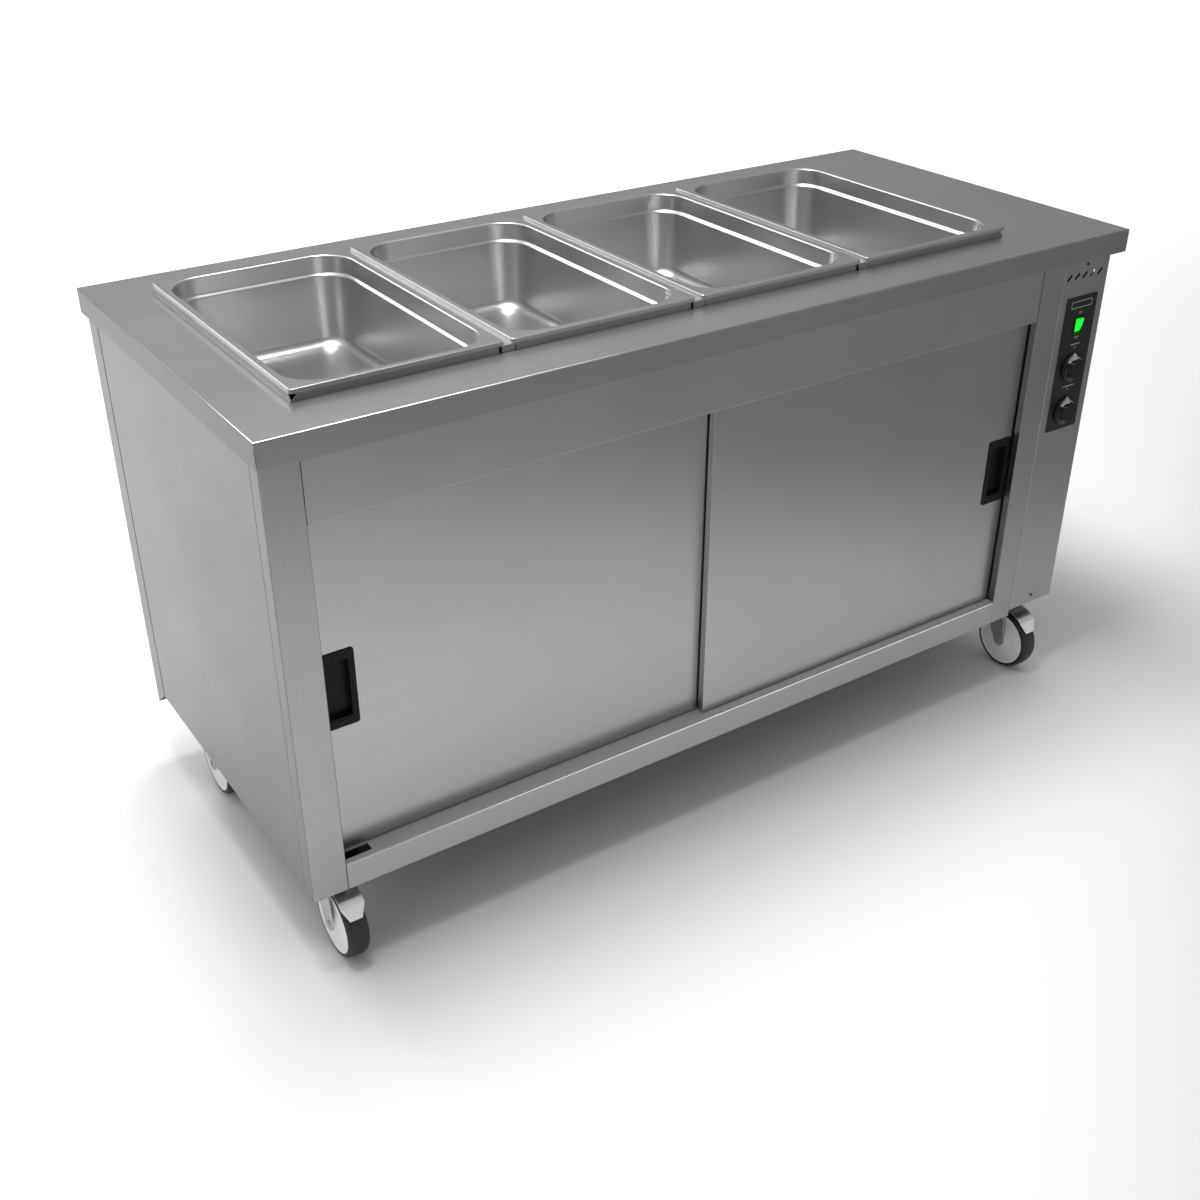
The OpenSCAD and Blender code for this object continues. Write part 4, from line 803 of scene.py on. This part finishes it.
for knob, knob_z in (("well_knob", 0.661), ("cupboard_knob", 0.576)):
    back = plate_low.y - knob_gap
    shape = bmesh.new()
    rings = []
    turns = [2 * math.pi * k / knob_steps for k in range(knob_steps)]
    for radius, height in knob_section:
        points = [(plate_x + radius * math.cos(t), back - height, knob_z + radius * math.sin(t))
            for t in turns]
        rings.append([shape.verts.new(point) for point in points])
    for first, second in zip(rings, rings[1:]):
        for k in range(knob_steps):
            j = (k + 1) % knob_steps
            shape.faces.new((first[k], first[j], second[j], second[k]))
    shape.faces.new(rings[0])
    shape.faces.new(rings[-1])
    foot = [shape.verts.new((plate_x + x, back - pointer_from, knob_z + z)) for x, z in pointer_low]
    roof = [shape.verts.new((plate_x + x, back - pointer_to, knob_z + z)) for x, z in pointer_high]
    sides = []
    for k in range(len(foot)):
        j = (k + 1) % len(foot)
        sides.append(shape.faces.new((foot[k], foot[j], roof[j], roof[k])))
    shape.faces.new(foot)
    shape.faces.new(roof)
    # Painted reflections in pale grey on the pointer's two slopes.
    slopes = [sides[0], sides[-1]]
    bmesh.ops.inset_individual(shape, faces=slopes, thickness=reflection_border, depth=0)
    for slope in slopes:
        slope.material_index = 1
    end_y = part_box(knob)[1].y
    level = Matrix.Rotation(math.radians(90), 4, "X")
    spindle = Matrix.Translation((plate_x, (back + end_y) / 2, knob_z)) @ level
    bmesh.ops.create_cone(shape, cap_ends=True, segments=24, radius1=spindle_radius,
        radius2=spindle_radius, depth=end_y - back, matrix=spindle)
    bmesh.ops.recalc_face_normals(shape, faces=shape.faces[:])
    fitted(knob + "_piece", shape, [knob_black, knob_painted_reflection], knob, [knob],
        crease=30)

# Controls behind the plate: the energy regulator, the thermostat and the terminal block are
# moulded in ivory plastic, and the gland is black nylon.
ivory_plastic = moulded("ivory_plastic", (0.62, 0.57, 0.44), 0.5, 0.001, 0.00004, spread=0.05)
for part in ("energy_regulator", "thermostat", "terminal_block"):
    eased(part, 0.0003, ivory_plastic)
gland_nylon = moulded("gland_nylon", (0.014, 0.014, 0.014), 0.45, 0.0008, 0.00005)
eased("cable_gland", 0.0003, gland_nylon)


# Elements: loops of tube with a steel sheath that is dark and stained by heat. One lies under each
# pan on the tank's floor, and one under the cupboard's floor.
def mottled_metal(name, dark, pale, patch, rough):
    """Metal whose tone runs in patches, such as zinc spangle or heat stain."""
    swing = 0.06
    finish = bpy.data.materials.new(name)
    finish.use_nodes = True
    tree = finish.node_tree
    metal = tree.nodes["Principled BSDF"]
    metal.inputs["Metallic"].default_value = 1.0
    place = tree.nodes.new("ShaderNodeTexCoord")
    patches = tree.nodes.new("ShaderNodeTexVoronoi")
    patches.inputs["Scale"].default_value = 1 / patch
    stain = tree.nodes.new("ShaderNodeTexNoise")
    stain.inputs["Scale"].default_value = 0.3 / patch
    stain.inputs["Detail"].default_value = 4.0
    grey = tree.nodes.new("ShaderNodeSeparateColor")
    blend = tree.nodes.new("ShaderNodeMix")
    blend.inputs["Factor"].default_value = 0.5
    colour = tree.nodes.new("ShaderNodeMix")
    colour.data_type = "RGBA"
    colour.inputs["A"].default_value = dark + (1,)
    colour.inputs["B"].default_value = pale + (1,)
    gloss = tree.nodes.new("ShaderNodeMapRange")
    gloss.inputs["To Min"].default_value = rough - swing
    gloss.inputs["To Max"].default_value = rough + swing
    tree.links.new(place.outputs["Object"], patches.inputs["Vector"])
    tree.links.new(place.outputs["Object"], stain.inputs["Vector"])
    tree.links.new(patches.outputs["Color"], grey.inputs["Color"])
    tree.links.new(grey.outputs["Red"], blend.inputs["A"])
    tree.links.new(stain.outputs["Fac"], blend.inputs["B"])
    tree.links.new(blend.outputs["Result"], colour.inputs["Factor"])
    tree.links.new(colour.outputs["Result"], metal.inputs["Base Color"])
    tree.links.new(blend.outputs["Result"], gloss.inputs["Value"])
    tree.links.new(gloss.outputs["Result"], metal.inputs["Roughness"])
    return finish


heated_sheath = mottled_metal("heated_sheath", (0.06, 0.055, 0.05), (0.2, 0.17, 0.15), 0.012, 0.45)
for element in ("well_elements", "cupboard_element"):
    eased(element, 0.0002, heated_sheath)

# Insulation: slabs of mineral wool, cut to size and pushed between the liner and the panels, and
# under the tank. They are out of sight, so the CAD slabs stay.
wool = moulded("wool", (0.5, 0.44, 0.28), 0.9, 0.004, 0.002, spread=0.3)
node["insulation"].data.materials.clear()
node["insulation"].data.materials.append(wool)

# Base: a channel of zinc-plated steel over the castors at each end, a rail across the back and a tray
# that closes the underside. Their zinc is painted nearly black as shade, where the base shows through
# the crumb slot.
base_shaded_zinc = mottled_metal("base_shaded_zinc", (0.07, 0.07, 0.072), (0.13, 0.13, 0.133), 0.006, 0.42)
for part in ("base_frame", "base_tray"):
    eased(part, 0.0004, base_shaded_zinc)

# Castors: zinc-plated plates with a ball race and a kingpin, each with a fork, a white nylon wheel
# and a black rubber tyre. The front two have a brake pedal over the wheel.
castor_zinc = mottled_metal("castor_zinc", (0.52, 0.53, 0.54), (0.62, 0.63, 0.64), 0.004, 0.32)
axle_painted_shade = mottled_metal("axle_painted_shade", (0.03, 0.03, 0.03), (0.06, 0.06, 0.06), 0.002, 0.4)
wheel_nylon = moulded("wheel_nylon", (0.9, 0.905, 0.905), 0.4, 0.002, 0.00005, spread=0.02)
tongue_painted_light = brushed_steel("tongue_painted_light", (0.9, 0.905, 0.91), "X", 0.5, metal=0.3)
tyre_rubber = moulded("tyre_rubber", (0.013, 0.013, 0.013), 0.5, 0.0008, 0.0001)
eased("castor_plates", 0.0004, castor_zinc)

# Castor bolts: steel bolts through the castor's plate and the channel, four to a castor. Each has a
# hexagon head and a washer under the plate, and a nut and a washer over the channel.
# Shares of the head's width for the radii, and of its height for the rest.
hexagon_radius = 0.5
washer_radius = 0.56
washer_height = 0.24
shank_past_nut = 1.3
bolt_sizes = ["Head Width", "Head Height", "Shank Width", "Grip"]
bolt_tree, given, out = fixing_tree("hexagon_bolt", bolt_sizes)
bolt = bolt_tree.nodes.new("GeometryNodeJoinGeometry")
for side in (-1, 1):
    hexagon = bolt_tree.nodes.new("GeometryNodeMeshCylinder")
    hexagon.inputs["Vertices"].default_value = 6
    width = times(bolt_tree, given, "Head Width", hexagon_radius)
    bolt_tree.links.new(width.outputs[0], hexagon.inputs["Radius"])
    bolt_tree.links.new(given.outputs["Head Height"], hexagon.inputs["Depth"])
    washer = bolt_tree.nodes.new("GeometryNodeMeshCylinder")
    width = times(bolt_tree, given, "Head Width", washer_radius)
    bolt_tree.links.new(width.outputs[0], washer.inputs["Radius"])
    height = times(bolt_tree, given, "Head Height", washer_height)
    bolt_tree.links.new(height.outputs[0], washer.inputs["Depth"])
    out_by = times(bolt_tree, given, "Head Height", side * 0.5)
    washer_by = times(bolt_tree, given, "Head Height", side * washer_height / 2)
    for shape, rise in ((hexagon, out_by), (washer, washer_by)):
        if side == 1:
            both = bolt_tree.nodes.new("ShaderNodeMath")
            bolt_tree.links.new(rise.outputs[0], both.inputs[0])
            bolt_tree.links.new(given.outputs["Grip"], both.inputs[1])
            rise = both
        bolt_tree.links.new(moved(bolt_tree, shape, rise).outputs[0], bolt.inputs[0])
rod = bolt_tree.nodes.new("GeometryNodeMeshCylinder")
rod_radius = times(bolt_tree, given, "Shank Width", 0.5)
bolt_tree.links.new(rod_radius.outputs[0], rod.inputs["Radius"])
rod_length = bolt_tree.nodes.new("ShaderNodeMath")
rod_past = times(bolt_tree, given, "Head Height", shank_past_nut)
bolt_tree.links.new(given.outputs["Grip"], rod_length.inputs[0])
bolt_tree.links.new(rod_past.outputs[0], rod_length.inputs[1])
bolt_tree.links.new(rod_length.outputs[0], rod.inputs["Depth"])
half_way = bolt_tree.nodes.new("ShaderNodeMath")
half_way.operation = "MULTIPLY"
half_way.inputs[1].default_value = 0.5
bolt_tree.links.new(rod_length.outputs[0], half_way.inputs[0])
bolt_tree.links.new(moved(bolt_tree, rod, half_way).outputs[0], bolt.inputs[0])
stand_on_places(bolt_tree, given, out, bolt)

castor_x = (-0.7645, 0.7265)
castor_y = (-0.26725, 0.22775)
bolt_step = (0.03, 0.04)
plate_under = 0.154
plate_gauge = 0.004
channel_gauge = 0.0015
places = [(x + a * bolt_step[0], y + b * bolt_step[1], plate_under)
    for x in castor_x for y in castor_y for a in (-1, 1) for b in (-1, 1)]
# The bolts take the base's zinc, painted dark as shade.
castor_bolt = {"Head Width": 0.0145, "Head Height": 0.005, "Shank Width": 0.008,
    "Grip": plate_gauge + channel_gauge, "Turn": (0, 0, 0), "Finish": base_shaded_zinc}
set_fixings("castor_bolts_piece", bolt_tree, places, castor_bolt, "cabinet",
    ["castor_bolts"])

# Forks, wheels and pedals: the fork is pressed from zinc-plated sheet and turns on the race. The
# moulded wheel runs on an axle bolt, and a dark patch of painted shade round the axle on the fork's
# outer face stands for its hole. The pedal is hinged over the wheel, and its tongue's front faces have
# painted light, a near-white copy of the zinc with little metal.
axle_z = 0.0625
axle_head = 0.0075
axle_depth = 0.0035
trail = 0.04
shortest_edge = 0.009
for corner in ("front_left", "front_right", "rear_left", "rear_right"):
    pivot_y = castor_y[1] if corner.startswith("rear") else castor_y[0]
    axle_y = pivot_y - trail
    fork = sheet_copy(corner + "_fork")
    ease(fork, 0.0005, shortest=shortest_edge)
    low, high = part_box(corner + "_fork")
    # Painted shade round the axle on the fork's outer face.
    for face in fork.faces:
        middle = face.calc_center_median()
        off_axle = math.hypot(middle.y - axle_y, middle.z - axle_z)
        if off_axle < axle_head and middle.x < low.x + axle_depth:
            face.material_index = 1
    fitted(corner + "_fork_piece", fork, [castor_zinc, axle_painted_shade], corner + "_swivel",
        [corner + "_fork"])
    eased(corner + "_disc", 0.0005, wheel_nylon, corner + "_wheel")
    eased(corner + "_tyre", 0.0004, tyre_rubber, corner + "_wheel")
tongue_round = 0.009
tongue_tip = 0.004
tongue_top = 0.01
upright_within = 0.0003
for corner in ("front_left", "front_right"):
    pedal = sheet_copy(corner + "_pedal")
    low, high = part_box(corner + "_pedal")
    tips = [e for e in pedal.edges if e.is_manifold and e.calc_length() < tongue_tip
        and abs(e.verts[0].co.x - e.verts[1].co.x) < upright_within
        and max(e.verts[0].co.z, e.verts[1].co.z) < low.z + tongue_tip]
    bmesh.ops.bevel(pedal, geom=tips, offset=tongue_round, segments=8, profile=0.5, affect="EDGES",
        clamp_overlap=True)
    ease(pedal, 0.0004)
    # Painted light on the pedal tongue's front faces.
    for face in pedal.faces:
        if face.normal.y < -0.2 and face.calc_center_median().z < high.z - tongue_top:
            face.material_index = 1
    fitted(corner + "_pedal_piece", pedal, [castor_zinc, tongue_painted_light], corner + "_pedal",
        [corner + "_pedal"])

low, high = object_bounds()
